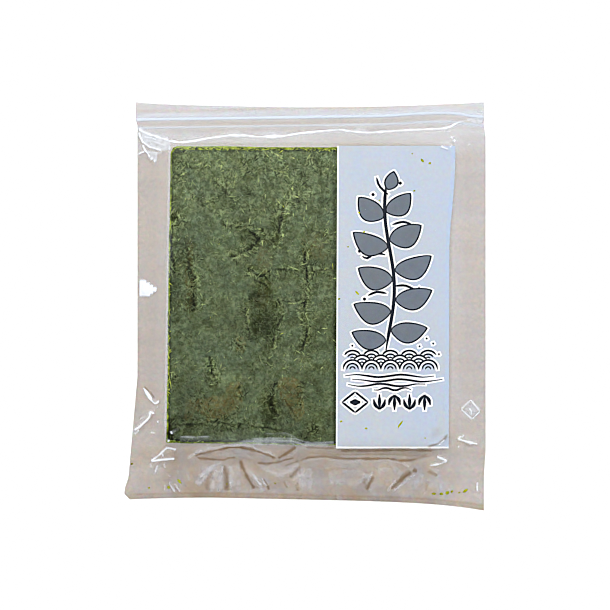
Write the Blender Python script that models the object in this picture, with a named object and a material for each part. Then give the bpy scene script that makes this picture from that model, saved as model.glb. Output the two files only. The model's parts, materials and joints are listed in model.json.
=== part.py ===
"""A clear press-zip bag that lies flat, closed round a stack of ten roasted nori sheets and a label card.

The bag is one closed body with the true outer form of the filled bag: the stack stands up as a
low plateau with soft shoulders, the film falls from it to thin welded edges, a zip ridge crosses
the top below the open lips, and the slack film at the bottom is drawn into pleats.

Metres, +Z up. The bag lies on its back with the lips towards +Y. The origin is at the middle of
the bag's box, on the surface that it rests on.
"""

import math

import bmesh
import bpy

# The bag, lying flat
HALF_SPAN = 0.1265  # from the middle to the widest point, each way
HALF_LENGTH = 0.1430  # from the middle to the top corners and to the bottom right corner
LEFT_WELD_X = -0.11735  # the left weld beside the stack
HEADER_FLARE = 0.00115  # how far the header stands out past that weld
HEADER_FLARE_START_Y, HEADER_FLARE_END_Y = 0.1260, 0.1310
RIGHT_TUCK = 0.0012  # how far the right weld draws in beside the header and below the stack
UPPER_TUCK_START_Y, UPPER_TUCK_END_Y = 0.1180, 0.1280
LOWER_TUCK_START_Y, LOWER_TUCK_END_Y = -0.0980, -0.1220
SPLAY_START_Y, SPLAY_END_Y = -0.0490, -0.1314  # the left weld splays out between these
CORNER_FLICK = 0.2  # the share of the splay that comes just above the corner
CORNER_FLICK_START_Y, CORNER_FLICK_END_Y = -0.1180, -0.1290
CORNER_TUCK = 0.0040  # the bottom left corner is folded in by this much
LIP_SAG = 0.0031  # how far the top edge dips between its corners
LIP_SAG_POWER = 1.8
LIP_LOW_POINT = 0.58  # where along the width it lies lowest
LIP_CORNER_LIFT = 0.0008
LIP_CORNER_RUN = 0.03  # as a share of the width
BOTTOM_Y = -0.1340  # the bottom edge where it lies highest
BOTTOM_LOW_POINT = 0.24  # where along the width that is
LEFT_DROOP = 0.0012
RIGHT_DROOP_LINEAR = 0.0040
RIGHT_DROOP_CURVED = 0.0050
RIGHT_DROOP_POWER = 6.0

# What the bag holds
SHEET_COUNT = 10
SHEET_PITCH = 0.00058  # height that each loosely lying sheet takes up in the stack
CARD_THICKNESS = 0.00035
STACK_LEFT, STACK_RIGHT = -0.0954, 0.1045  # the right edge is the card's
STACK_BOTTOM, STACK_TOP = -0.0985, 0.1115
FILM_CLEARANCE = 0.0008  # air and film over the stack

# Heights above the surface
EDGE_THICKNESS = 0.0007  # two films and a little air at the welded rim
MARGIN_THICKNESS = 0.0019  # the same further in
EDGE_RUN = 0.0070  # how far in from the rim the margin reaches that
SHOULDER_RUN = 0.0150  # how far out from the stack the film has come down
RIM_LIFT = 0.0006  # the underside of the rim hovers this high
RIM_LIFT_RUN = 0.0120

# The press zip and the lips above it
ZIP_LEFT_Y = 0.1313
ZIP_RISE = 0.0039  # the zip climbs by this much towards the right
ZIP_END_DROP = 0.0026  # and drops again over the last stretch
ZIP_END_START = 0.90
ZIP_WIDTH = 0.0030
ZIP_THICKNESS = 0.0021
HEADER_THICKNESS = 0.0009

# Pleats in the slack film under the stack
PLEAT_COUNT = 9
PLEAT_HEIGHT = 0.0009
PLEAT_TOP_Y = -0.1010
PLEAT_LEAN = 0.35  # how far the outer pleats fan out

# How finely the film is divided
COLUMNS = 48
BODY_ROWS = 45
ZIP_ROWS = 3
HEADER_ROWS = 2
LEVEL_HEIGHT = 1e-6  # points of the underside below this height rest on the surface
FLAT_ANGLE = math.radians(0.05)  # faces of the underside this level become one face
CREASE_ANGLE = math.radians(40.0)  # edges sharper than this are shaded as edges

FILM_COLOUR = (0.80, 0.78, 0.75, 1.0)
FILM_ROUGHNESS = 0.15


def smooth_step(start, end, value):
    """0 before start, 1 past end, and an S-shaped ramp between them."""
    share = min(max((value - start) / (end - start), 0.0), 1.0)
    return share * share * (3.0 - 2.0 * share)


def left_weld(y):
    """X of the left edge: straight beside the stack, splayed below, tucked in at the corner."""
    splay = min(max((SPLAY_START_Y - y) / (SPLAY_START_Y - SPLAY_END_Y), 0.0), 1.0)
    flick = smooth_step(CORNER_FLICK_START_Y, CORNER_FLICK_END_Y, y)
    splayed = (HALF_SPAN + LEFT_WELD_X) * ((1.0 - CORNER_FLICK) * splay + CORNER_FLICK * flick)
    tuck = CORNER_TUCK * min(max((SPLAY_END_Y - y) / CORNER_TUCK, 0.0), 1.0)
    flare = HEADER_FLARE * smooth_step(HEADER_FLARE_START_Y, HEADER_FLARE_END_Y, y)
    return LEFT_WELD_X - splayed + tuck - flare


def right_weld(y):
    """X of the right edge: drawn in a little beside the header and below the stack."""
    upper = smooth_step(UPPER_TUCK_START_Y, UPPER_TUCK_END_Y, y)
    lower = smooth_step(LOWER_TUCK_START_Y, LOWER_TUCK_END_Y, y)
    return HALF_SPAN - RIGHT_TUCK * (upper + lower)


def lip_edge(u):
    """Y of the top edge at the share u of the width."""
    side = LIP_LOW_POINT if u < LIP_LOW_POINT else 1.0 - LIP_LOW_POINT
    sag = LIP_SAG * (1.0 - abs((u - LIP_LOW_POINT) / side) ** LIP_SAG_POWER)
    corner = LIP_CORNER_LIFT * (1.0 - math.exp(-u / LIP_CORNER_RUN))
    return HALF_LENGTH - sag - corner * (1.0 - u)


def bottom_edge(u):
    """Y of the bottom edge at the share u of the width."""
    left = max(BOTTOM_LOW_POINT - u, 0.0) / BOTTOM_LOW_POINT
    right = max(u - BOTTOM_LOW_POINT, 0.0) / (1.0 - BOTTOM_LOW_POINT)
    drooped = RIGHT_DROOP_LINEAR * right + RIGHT_DROOP_CURVED * right**RIGHT_DROOP_POWER
    return BOTTOM_Y - LEFT_DROOP * left**2 - drooped


def zip_line(u):
    """Y of the middle of the zip at the share u of the width."""
    return ZIP_LEFT_Y + ZIP_RISE * u - ZIP_END_DROP * smooth_step(ZIP_END_START, 1.0, u)


def row_height(u, row):
    """Y of one row of the grid: the body's rows, the rows over the zip, then the lips."""
    zip_start = zip_line(u) - ZIP_WIDTH / 2.0
    if row <= BODY_ROWS:
        share = row / BODY_ROWS
        return bottom_edge(u) + (zip_start - bottom_edge(u)) * share
    if row <= BODY_ROWS + ZIP_ROWS:
        return zip_start + ZIP_WIDTH * (row - BODY_ROWS) / ZIP_ROWS
    zip_end = zip_start + ZIP_WIDTH
    share = (row - BODY_ROWS - ZIP_ROWS) / HEADER_ROWS
    return zip_end + (lip_edge(u) - zip_end) * share


def stack_distance(x, y):
    """How far a point lies outside the stack, and 0 over it."""
    across = max(STACK_LEFT - x, x - STACK_RIGHT, 0.0)
    along = max(STACK_BOTTOM - y, y - STACK_TOP, 0.0)
    return math.hypot(across, along)


def rim_distance(u, x, y):
    """How far a point lies inside the nearest edge of the bag."""
    sideways = min(x - left_weld(y), right_weld(y) - x)
    return max(min(sideways, y - bottom_edge(u), lip_edge(u) - y), 0.0)


def pleat(u, y):
    """Height of the pleats, which fan out below the stack and fade at its edge and at the rim."""
    depth = (PLEAT_TOP_Y - y) / (PLEAT_TOP_Y - BOTTOM_Y)
    if not 0.0 < depth < 1.0:
        return 0.0
    fanned = 0.5 + (u - 0.5) * (1.0 - PLEAT_LEAN * depth)
    wave = 0.5 + 0.5 * math.cos(2.0 * math.pi * PLEAT_COUNT * fanned)
    return PLEAT_HEIGHT * wave * math.sin(math.pi * depth)


def top_height(u, row, x, y):
    """Height of the upper film."""
    stack_height = SHEET_COUNT * SHEET_PITCH + CARD_THICKNESS + FILM_CLEARANCE
    margin = EDGE_THICKNESS + (MARGIN_THICKNESS - EDGE_THICKNESS) * smooth_step(
        0.0, EDGE_RUN, rim_distance(u, x, y)
    )
    fallen = smooth_step(0.0, SHOULDER_RUN, stack_distance(x, y))
    height = stack_height + (margin - stack_height) * fallen + pleat(u, y) * fallen
    if BODY_ROWS < row < BODY_ROWS + ZIP_ROWS:
        return ZIP_THICKNESS
    if row >= BODY_ROWS + ZIP_ROWS:
        return HEADER_THICKNESS
    return height


def under_height(u, x, y):
    """Height of the lower film: flat under the stack, and hovering a little at the rim."""
    return RIM_LIFT * (1.0 - smooth_step(0.0, RIM_LIFT_RUN, rim_distance(u, x, y)))


def film_grid(rows):
    """A flat unit grid as the start of the body. Returns it and each vertex's place in the grid."""
    grid = bmesh.new()
    bmesh.ops.create_grid(grid, x_segments=COLUMNS, y_segments=rows, size=0.5)
    places = {v: (v.co.x + 0.5, round((v.co.y + 0.5) * rows)) for v in grid.verts}
    return grid, places


def make_bag(material, collection):
    """The filled bag as one body: the grid is pulled down to a slab and both faces are shaped."""
    rows = BODY_ROWS + ZIP_ROWS + HEADER_ROWS
    grid, places = film_grid(rows)
    under = bmesh.ops.extrude_face_region(grid, geom=grid.faces[:])["geom"]
    lower = [v for v in under if isinstance(v, bmesh.types.BMVert)]
    for v in lower:
        places[v] = (v.co.x + 0.5, round((v.co.y + 0.5) * rows))
    lowered = set(lower)
    for v, (u, row) in places.items():
        y = row_height(u, row)
        x = left_weld(y) + (right_weld(y) - left_weld(y)) * u
        height = under_height(u, x, y) if v in lowered else top_height(u, row, x, y)
        v.co = (x, y, height)
    bmesh.ops.recalc_face_normals(grid, faces=grid.faces[:])
    level = {v for v in lowered if v.co.z < LEVEL_HEIGHT}
    flat = [f for f in grid.faces if all(v in level for v in f.verts)]
    corners = {v for f in flat for v in f.verts}
    edges = {e for f in flat for e in f.edges}
    bmesh.ops.dissolve_limit(
        grid, angle_limit=FLAT_ANGLE, verts=list(corners), edges=list(edges)
    )
    mesh = bpy.data.meshes.new("zip_bag")
    grid.to_mesh(mesh)
    grid.free()
    mesh.materials.append(material)
    mesh.shade_smooth()
    mesh.set_sharp_from_angle(angle=CREASE_ANGLE)
    bag = bpy.data.objects.new("zip_bag", mesh)
    collection.objects.link(bag)
    return bag


def clear_film():
    """The bag's film: clear, slightly hazy, glossy plastic."""
    material = bpy.data.materials.new("clear_film")
    material.use_nodes = True
    shader = material.node_tree.nodes["Principled BSDF"]
    shader.inputs["Base Color"].default_value = FILM_COLOUR
    shader.inputs["Roughness"].default_value = FILM_ROUGHNESS
    shader.inputs["Metallic"].default_value = 0.0
    return material


def main():
    for old in list(bpy.data.objects):
        bpy.data.objects.remove(old)
    pack = bpy.data.collections.new("roasted_nori_pack")
    bpy.context.scene.collection.children.link(pack)
    make_bag(clear_film(), pack)


main()
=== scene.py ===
"""Clear press-zip bag of roasted nori sheets with a printed card, dressed for a studio picture.

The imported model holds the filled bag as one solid. Here that solid gives way to what the bag is
made of: a thin creased film, a press zip, ten wavy nori sheets with loose strands on the top
one, a card with a generic print, and a few crumbs. The bag lies on its back: +X is right, +Y is
towards the zip, +Z is up. Places and sizes are in millimetres where nothing else is said.
"""

import json
import logging
import math
from collections.abc import Callable
from dataclasses import dataclass, field
from enum import Enum

import bpy
import numpy as np
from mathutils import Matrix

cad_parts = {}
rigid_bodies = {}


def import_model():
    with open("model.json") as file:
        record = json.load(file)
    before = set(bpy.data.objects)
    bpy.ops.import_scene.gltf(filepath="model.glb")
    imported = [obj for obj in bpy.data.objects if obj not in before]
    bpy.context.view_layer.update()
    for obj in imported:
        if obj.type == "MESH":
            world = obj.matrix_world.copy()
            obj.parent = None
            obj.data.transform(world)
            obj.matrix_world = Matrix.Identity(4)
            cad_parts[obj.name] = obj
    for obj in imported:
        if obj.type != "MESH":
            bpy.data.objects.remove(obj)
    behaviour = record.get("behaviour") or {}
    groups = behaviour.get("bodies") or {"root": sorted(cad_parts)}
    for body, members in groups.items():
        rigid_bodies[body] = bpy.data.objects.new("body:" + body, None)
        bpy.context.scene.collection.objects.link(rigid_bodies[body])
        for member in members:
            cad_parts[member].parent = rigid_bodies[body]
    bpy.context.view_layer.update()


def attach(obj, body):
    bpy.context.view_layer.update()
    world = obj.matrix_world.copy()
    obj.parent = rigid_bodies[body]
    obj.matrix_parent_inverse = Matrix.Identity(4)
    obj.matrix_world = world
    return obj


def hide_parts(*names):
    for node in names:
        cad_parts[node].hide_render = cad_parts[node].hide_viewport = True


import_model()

logging.basicConfig(level=logging.INFO, format="%(message)s")
log = logging.getLogger("nori_bag")

MM = 0.001
BODY = "root"
BAG_NODE = "zip_bag"

Array = np.ndarray
Colour = tuple[float, float, float]
Triple = tuple[float, float, float]
Pair = tuple[float, float]
Path = tuple[Pair, ...]
Form = Callable[[Array, Array], tuple[Array, Array]]
Socket = bpy.types.NodeSocket
Value = float | Socket


class Slot(Enum):
    """The record's material slots."""

    FILM = "clear_film"
    ZIP = "zip_track"
    NORI = "roasted_nori"
    CARD = "label_card"
    INK = "label_ink"


# ---------------------------------------------------------------- shapes and numbers


def ramp(start: float, end: float, value: Array) -> Array:
    """S-shaped ramp.

    Args:
        start: Where the ramp leaves 0.
        end: Where it reaches 1. It may lie below start.
        value: What is measured.

    Returns:
        0 at start, 1 at end, and a smooth step between them.
    """
    share = np.clip((value - start) / (end - start), 0.0, 1.0)
    return share * share * (3.0 - 2.0 * share)


def bell(distance: Array, width: float | Array) -> Array:
    """1 at distance 0, falling off smoothly over width on both sides."""
    return np.exp(-((distance / width) ** 2))


@dataclass(frozen=True)
class Grain:
    """Smooth random relief over the plane, the same on every run."""

    seed: int
    table_size: int = 256
    shift: Pair = (0.37, 0.71)
    layer_step: int = 101
    layer_sum: float = 1.6

    def at(self, x: Array, y: Array, pitch: float) -> Array:
        """Reads the relief.

        Args:
            x: Places, in any unit.
            y: Places, in the same unit.
            pitch: Distance between two features, in that unit.

        Returns:
            Values from -1 to 1.
        """
        table = np.random.default_rng(self.seed).uniform(-1.0, 1.0, (self.table_size, self.table_size))
        across, along = x / pitch + self.shift[0], y / pitch + self.shift[1]
        column, row = np.floor(across).astype(int), np.floor(along).astype(int)
        across, along = across - column, along - row
        across, along = across**2 * (3 - 2 * across), along**2 * (3 - 2 * along)
        near, far = column % self.table_size, (column + 1) % self.table_size
        low, high = row % self.table_size, (row + 1) % self.table_size
        below = table[near, low] * (1 - across) + table[far, low] * across
        above = table[near, high] * (1 - across) + table[far, high] * across
        return below * (1 - along) + above * along

    def layered(self, x: Array, y: Array, pitch: float, layers: int = 3) -> Array:
        """Sums layers, each half as large and half as high as the one before.

        Args:
            x: Places, in any unit.
            y: Places, in the same unit.
            pitch: Distance between two features of the first layer.
            layers: How many there are.

        Returns:
            Values from about -1 to 1.
        """
        total = np.zeros_like(x)
        for layer in range(layers):
            finer = Grain(self.seed + self.layer_step * layer)
            total = total + finer.at(x, y, pitch / 2**layer) / 2**layer
        return total / self.layer_sum

    def creased(self, x: Array, y: Array, pitch: float) -> Array:
        """Relief with sharp crests, as crumpled sheet has. From 0 to 1, with crests at 1."""
        return 1.0 - np.abs(self.at(x, y, pitch)) ** 0.7


@dataclass(frozen=True)
class Swell:
    """Layered relief with its own pitch and strength, drawn out along X by its stretch."""

    seed: int
    pitch: float
    strength: float = 1.0
    stretch: float = 1.0

    def read(self, x: Array, y: Array) -> Array:
        """The relief at places given in millimetres."""
        return self.strength * Grain(self.seed).layered(x / self.stretch, y, self.pitch)


@dataclass(frozen=True)
class Zone:
    """A part of the bag where something is stronger or weaker.

    Attributes:
        strength: What it adds there.
        x: Where it comes in along X, as the ends of a ramp, and where it goes out if it does.
        y: The same along Y.
    """

    strength: float
    x: tuple[float, ...] = ()
    y: tuple[float, ...] = ()

    def read(self, x: Array, y: Array) -> Array:
        """Reads the zone.

        Args:
            x: Places.
            y: Places.

        Returns:
            What it adds there.
        """
        cover = np.full(x.shape, self.strength)
        for ends, value in ((self.x, x), (self.y, y)):
            for start, end in zip(ends[::2], ends[1::2]):
                cover = cover * ramp(start, end, value)
        return cover


def read_all(parts: tuple[Swell | Zone, ...], x: Array, y: Array) -> Array:
    """The sum of what swells and zones add at places given in millimetres."""
    return sum((part.read(x, y) for part in parts), np.zeros_like(x))


def along_path(path: Path, x: Array, y: Array) -> tuple[Array, Array]:
    """Measures places against a line of straight runs.

    Args:
        path: The line's corners.
        x: Places to measure.
        y: Places to measure.

    Returns:
        The distance to the line, positive on its left, and how far along it the nearest point
        lies, from 0 to 1.
    """
    nearest = np.full(x.shape, np.inf)
    side = np.ones(x.shape)
    share = np.zeros(x.shape)
    lengths = [math.dist(a, b) for a, b in zip(path, path[1:])]
    walked = 0.0
    for (ax, ay), (bx, by), length in zip(path, path[1:], lengths):
        dx, dy = (bx - ax) / length, (by - ay) / length
        run = np.clip((x - ax) * dx + (y - ay) * dy, 0.0, length)
        off_x, off_y = x - ax - run * dx, y - ay - run * dy
        distance = np.hypot(off_x, off_y)
        closer = distance < nearest
        nearest = np.where(closer, distance, nearest)
        side = np.where(closer, np.where(dx * off_y - dy * off_x < 0, -1.0, 1.0), side)
        share = np.where(closer, (walked + run) / sum(lengths), share)
        walked += length
    return nearest * side, share


def smooth_path(path: Path, steps: int = 6) -> Path:
    """Rounds a line through its own corners.

    Args:
        path: The corners.
        steps: Points made for each run.

    Returns:
        A line of short runs on one smooth curve through the corners.
    """
    points = [np.array(p) for p in (path[0], *path, path[-1])]
    smooth = []
    for a, b, c, d in zip(points, points[1:], points[2:], points[3:]):
        for step in range(steps):
            t = step / steps
            bend = 2 * b + (c - a) * t + (2 * a - 5 * b + 4 * c - d) * t**2
            smooth.append(tuple((bend + (3 * b - a - 3 * c + d) * t**3) / 2))
    return (*smooth, tuple(points[-1]))


def line(*numbers: float) -> Path:
    """A path through places given as x, y, x, y and so on."""
    return tuple(zip(numbers[::2], numbers[1::2]))


def curve(*numbers: float) -> Path:
    """A rounded path through places given as x, y, x, y and so on."""
    return smooth_path(line(*numbers))


def inside_depth(corners: Path, x: Array, y: Array) -> Array:
    """Measures how far places lie inside a convex outline.

    Args:
        corners: The outline, counter-clockwise.
        x: Places.
        y: Places.

    Returns:
        The distance to the nearest side, below 0 outside.
    """
    depth = np.full(x.shape, np.inf)
    for (ax, ay), (bx, by) in zip(corners, (*corners[1:], corners[0])):
        length = math.dist((ax, ay), (bx, by))
        left = ((bx - ax) * (y - ay) - (by - ay) * (x - ax)) / length
        depth = np.minimum(depth, left)
    return depth


def stations(*zones: tuple[float, int]) -> Array:
    """Places of grid lines that lie closer in some zones than in others.

    Args:
        zones: For each zone, its share of the whole and its number of cells.

    Returns:
        Rising values from 0 to 1.
    """
    lines = [0.0]
    for share, cells in zones:
        lines += list(lines[-1] + share * np.arange(1, cells + 1) / cells)
    return np.array(lines) / lines[-1]


# ---------------------------------------------------------------- mesh work


def deselect() -> None:
    """Leaves nothing selected, so that an operator acts on the new piece only."""
    if bpy.context.object and bpy.context.object.mode != "OBJECT":
        bpy.ops.object.mode_set(mode="OBJECT")
    bpy.ops.object.select_all(action="DESELECT")


def place(mesh: bpy.types.Mesh, x: Array, y: Array, z: Array) -> None:
    """Moves every point of a mesh to a place given in millimetres.

    Args:
        mesh: The mesh.
        x: Each point's X.
        y: Each point's Y.
        z: Each point's height.
    """
    places = np.stack([x, y, z], axis=1) * MM
    mesh.vertices.foreach_set("co", places.astype(np.float32).ravel())
    mesh.update()


def store(mesh: bpy.types.Mesh, name: str, values: Array) -> None:
    """Stores a number on every point of a mesh, for the finish to read."""
    layer = mesh.attributes.new(name, "FLOAT", "POINT")
    layer.data.foreach_set("value", values.astype(np.float32))


class Slab:
    """A closed thin piece that starts as a flat grid pulled down to a slab.

    Attributes:
        piece: The object.
        u: For each point, its place along X in the grid, from 0 to 1.
        v: For each point, its place along Y in the grid, from 0 to 1.
        upper: For each point, whether it's on the upper face.
    """

    def __init__(self, name: str, columns: int, rows: int) -> None:
        """Adds the grid and extrudes it.

        Args:
            name: The piece's name.
            columns: Cells along X.
            rows: Cells along Y.
        """
        deselect()
        bpy.ops.mesh.primitive_grid_add(x_subdivisions=columns, y_subdivisions=rows, size=1.0)
        self.piece = bpy.context.object
        self.piece.name = self.piece.data.name = name
        bpy.ops.object.mode_set(mode="EDIT")
        bpy.ops.mesh.select_all(action="SELECT")
        bpy.ops.mesh.extrude_region_move(TRANSFORM_OT_translate={"value": (0.0, 0.0, -1.0)})
        bpy.ops.mesh.select_all(action="SELECT")
        bpy.ops.mesh.normals_make_consistent(inside=False)
        bpy.ops.object.mode_set(mode="OBJECT")
        flat = self.points()
        self.u, self.v = flat[:, 0] + 0.5, flat[:, 1] + 0.5
        self.upper = flat[:, 2] > -0.5

    def points(self) -> Array:
        """The places of the piece's points, one row each."""
        places = np.empty(len(self.piece.data.vertices) * 3, np.float32)
        self.piece.data.vertices.foreach_get("co", places)
        return places.reshape(-1, 3).astype(float)

    def place(self, x: Array, y: Array, z: Array) -> None:
        """Moves every point to a place given in millimetres."""
        place(self.piece.data, x, y, z)

    def mark(self, name: str, values: Array) -> None:
        """Stores a number on every point, for the finish to read."""
        store(self.piece.data, name, values)

    def thin_out(self, chosen: Array, ratio: float) -> None:
        """Takes points away where the piece is flat or hidden.

        Args:
            chosen: Which points lie there.
            ratio: Which share of the faces there stays.
        """
        deselect()
        self.piece.select_set(True)
        bpy.context.view_layer.objects.active = self.piece
        bpy.ops.object.mode_set(mode="EDIT")
        bpy.ops.mesh.select_mode(type="VERT")
        bpy.ops.mesh.select_all(action="DESELECT")
        bpy.ops.object.mode_set(mode="OBJECT")
        self.piece.data.vertices.foreach_set("select", chosen)
        bpy.ops.object.mode_set(mode="EDIT")
        bpy.ops.mesh.select_less()
        bpy.ops.mesh.decimate(ratio=ratio)
        bpy.ops.object.mode_set(mode="OBJECT")

    def smooth(self, angle: float = 60.0) -> None:
        """Shades the piece smooth, but for its sharp edges.

        Args:
            angle: The sharpest bend that's shaded smooth, in degrees.
        """
        deselect()
        self.piece.select_set(True)
        bpy.context.view_layer.objects.active = self.piece
        bpy.ops.object.shade_smooth_by_angle(angle=math.radians(angle))


def join(pieces: list[bpy.types.Object], name: str) -> bpy.types.Object:
    """Joins pieces into one.

    Args:
        pieces: At least one piece.
        name: The joined piece's name.

    Returns:
        The joined piece.
    """
    deselect()
    for piece in pieces:
        piece.select_set(True)
    bpy.context.view_layer.objects.active = pieces[0]
    if len(pieces) > 1:
        bpy.ops.object.join()
    joined = bpy.context.view_layer.objects.active
    joined.name = joined.data.name = name
    return joined


def dress(piece: bpy.types.Object, material: bpy.types.Material) -> bpy.types.Object:
    """Gives a piece its finish and lets it ride on the bag's body.

    Args:
        piece: The finished mesh.
        material: Its finish.

    Returns:
        The same piece.
    """
    piece.data.materials.clear()
    piece.data.materials.append(material)
    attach(piece, BODY)
    log.info("%s: %d faces", piece.name, len(piece.data.polygons))
    return piece


# ---------------------------------------------------------------- finishes


class NodeBench:
    """Adds nodes to a tree and joins them."""

    def __init__(self, tree: bpy.types.NodeTree, prefix: str = "ShaderNode") -> None:
        """Takes the tree, and the word that the types of its nodes start with."""
        self.tree, self.prefix = tree, prefix

    def add(self, kind: str, inputs: dict | None = None, **settings) -> bpy.types.Node:
        """Adds a node.

        Args:
            kind: The node's type, without the word that all of them start with.
            inputs: Values or sockets for its inputs, by name or number.
            settings: The node's own properties.

        Returns:
            The node.
        """
        node = self.tree.nodes.new(self.prefix + kind)
        for name, value in settings.items():
            setattr(node, name, value)
        for name, value in (inputs or {}).items():
            socket = node.inputs[name]
            if isinstance(value, bpy.types.NodeSocket):
                self.tree.links.new(value, socket)
            elif socket.type == "RGBA" and len(value) == 3:
                socket.default_value = (*value, 1.0)
            else:
                socket.default_value = value
        return node

    def calc(self, operation: str, a: Value, b: Value = 0.0, clamp: bool = False) -> Socket:
        """A Math node on two values or sockets."""
        return self.add("Math", {0: a, 1: b}, operation=operation, use_clamp=clamp).outputs[0]

    def remap(
        self, value: Value, low: float, high: float, to_low: float, to_high: float, kind: str = "LINEAR"
    ) -> Socket:
        """Maps low..high of a socket onto to_low..to_high, held at the ends."""
        inputs = {"Value": value, "From Min": low, "From Max": high, "To Min": to_low, "To Max": to_high}
        return self.add("MapRange", inputs, interpolation_type=kind).outputs["Result"]

    def blend(self, share: Value, a: Colour | Socket, b: Colour | Socket, mode: str = "MIX") -> Socket:
        """Mixes two colours."""
        return self.add("Mix", {0: share, 6: a, 7: b}, data_type="RGBA", blend_type=mode).outputs[2]


class Bench(NodeBench):
    """Builds one material's nodes."""

    def __init__(self, name: str) -> None:
        """Starts a material with only its output."""
        self.material = bpy.data.materials.new(name)
        self.material.use_nodes = True
        super().__init__(self.material.node_tree)
        self.tree.nodes.clear()
        self.output = self.add("OutputMaterial")

    def place(self) -> Socket:
        """The places on the piece, in metres."""
        return self.add("TexCoord").outputs["Object"]

    def marks(self, name: str) -> Socket:
        """The numbers that a piece carries under a name."""
        return self.add("Attribute", attribute_name=name).outputs["Fac"]

    def turned(self, angle: float, scale: Triple, shift: Triple = (0.0, 0.0, 0.0)) -> Socket:
        """Places on the piece, turned and then stretched.

        Args:
            angle: Turn about Z, in degrees.
            scale: Stretch along each axis.
            shift: How far they move after that.

        Returns:
            The places.
        """
        spin = {"Vector": self.place(), "Rotation": (0.0, 0.0, math.radians(angle))}
        stretch = {"Vector": self.add("Mapping", spin).outputs[0], "Scale": scale, "Location": shift}
        return self.add("Mapping", stretch).outputs[0]

    def noise(self, vector: Socket, scale: float, detail: float = 2.0, rough: float = 0.5) -> Socket:
        """Noise from 0 to 1 over the given coordinates."""
        inputs = {"Vector": vector, "Scale": scale, "Detail": detail, "Roughness": rough}
        return self.add("TexNoise", inputs).outputs["Fac"]

    def scaled(self, colour: Socket, factor: Socket) -> Socket:
        """A colour made lighter or darker by a factor."""
        return self.add("VectorMath", {0: colour, "Scale": factor}, operation="SCALE").outputs[0]

    def bump(self, height: Socket, strength: float, depth: float) -> Socket:
        """A normal for relief too fine for the mesh, with its depth in metres."""
        return self.add("Bump", {"Height": height, "Strength": strength, "Distance": depth}).outputs[0]

    def mix(self, share: Value, a: Socket, b: Socket) -> Socket:
        """Mixes two shaders."""
        return self.add("MixShader", {0: share, 1: a, 2: b}).outputs[0]

    def solid(self, shade: Colour | Socket, roughness: Value, **inputs) -> Socket:
        """An opaque surface, with further inputs named as the shader's, but _ for a space."""
        named = {name.replace("_", " "): value for name, value in inputs.items()}
        return self.add("BsdfPrincipled", {"Base Color": shade, "Roughness": roughness, **named}).outputs[0]

    def finish(self, shader: Socket) -> bpy.types.Material:
        """Joins the shader to the output and returns the material."""
        self.tree.links.new(shader, self.output.inputs["Surface"])
        return self.material


@dataclass(frozen=True)
class ClearFilm:
    """Clear glossy film. It reads white creases with painted glints, brown folds with painted shade, doubled
    film, haze with painted sheen, and warmth.
    """

    single_tint: Colour = (0.940, 0.932, 0.925)
    double_tint: Colour = (0.668, 0.638, 0.616)
    fold_and_shadow_tint: Colour = (0.420, 0.275, 0.105)
    haze_and_sheen_colour: Colour = (0.88, 0.93, 1.0)
    cool: Colour = (0.940, 0.985, 1.080)
    warm: Colour = (1.060, 1.000, 0.900)
    rainbow: float = 0.24
    rainbow_scale: float = 380.0
    crease_and_glint_cover: float = 0.85
    roughness: float = 0.07
    facing_gloss: float = 0.02
    edge_gloss: float = 0.9
    gloss_rise: float = 4.0
    ripple_scale: float = 160.0
    ripple_strength: float = 0.35
    ripple_depth: float = 0.0006

    def tint(self, bench: Bench) -> Socket:
        """What the film takes out of the light that passes it.

        Args:
            bench: The material's bench.

        Returns:
            The colour that's left.
        """
        tint = bench.blend(bench.marks("doubled"), self.single_tint, self.double_tint)
        # Brown where the film folds: doubled film, with painted shade and a painted shadow under the stack.
        tint = bench.blend(bench.marks("folded"), tint, self.fold_and_shadow_tint)
        tint = bench.blend(1.0, tint, bench.blend(bench.marks("warmed"), self.cool, self.warm), "MULTIPLY")
        grain = {"Vector": bench.place(), "Scale": self.rainbow_scale, "Detail": 3.0, "Roughness": 0.70}
        hues = bench.add("TexNoise", grain).outputs["Color"]
        inputs = {0: hues, 1: (self.rainbow,) * 3, 2: (1.0 - 0.5 * self.rainbow,) * 3}
        hue = bench.add("VectorMath", inputs, operation="MULTIPLY_ADD").outputs[0]
        return bench.blend(1.0, tint, hue, "MULTIPLY")

    def material(self) -> bpy.types.Material:
        """Builds the material."""
        bench = Bench("clear_film")
        through = bench.add("BsdfTransparent", {"Color": self.tint(bench)}).outputs[0]
        # The white creases are the film's whitening and painted glints and reflections.
        white = bench.calc("MULTIPLY", bench.marks("creased"), self.crease_and_glint_cover)
        cloud = bench.calc("ADD", white, bench.marks("haze_and_sheen"), clamp=True)
        haze = bench.add("BsdfDiffuse", {"Color": self.haze_and_sheen_colour}).outputs[0]
        body = bench.mix(cloud, through, haze)
        grazing = bench.add("LayerWeight", {"Blend": 0.5}).outputs["Facing"]
        rise = bench.calc("POWER", grazing, self.gloss_rise)
        gloss_share = bench.remap(rise, 0.0, 1.0, self.facing_gloss, self.edge_gloss)
        ripple = bench.noise(bench.place(), self.ripple_scale, 3.0)
        bump = bench.bump(ripple, self.ripple_strength, self.ripple_depth)
        gloss = bench.add("BsdfGlossy", {"Roughness": self.roughness, "Normal": bump}).outputs[0]
        return bench.finish(bench.mix(gloss_share, body, gloss))


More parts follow.
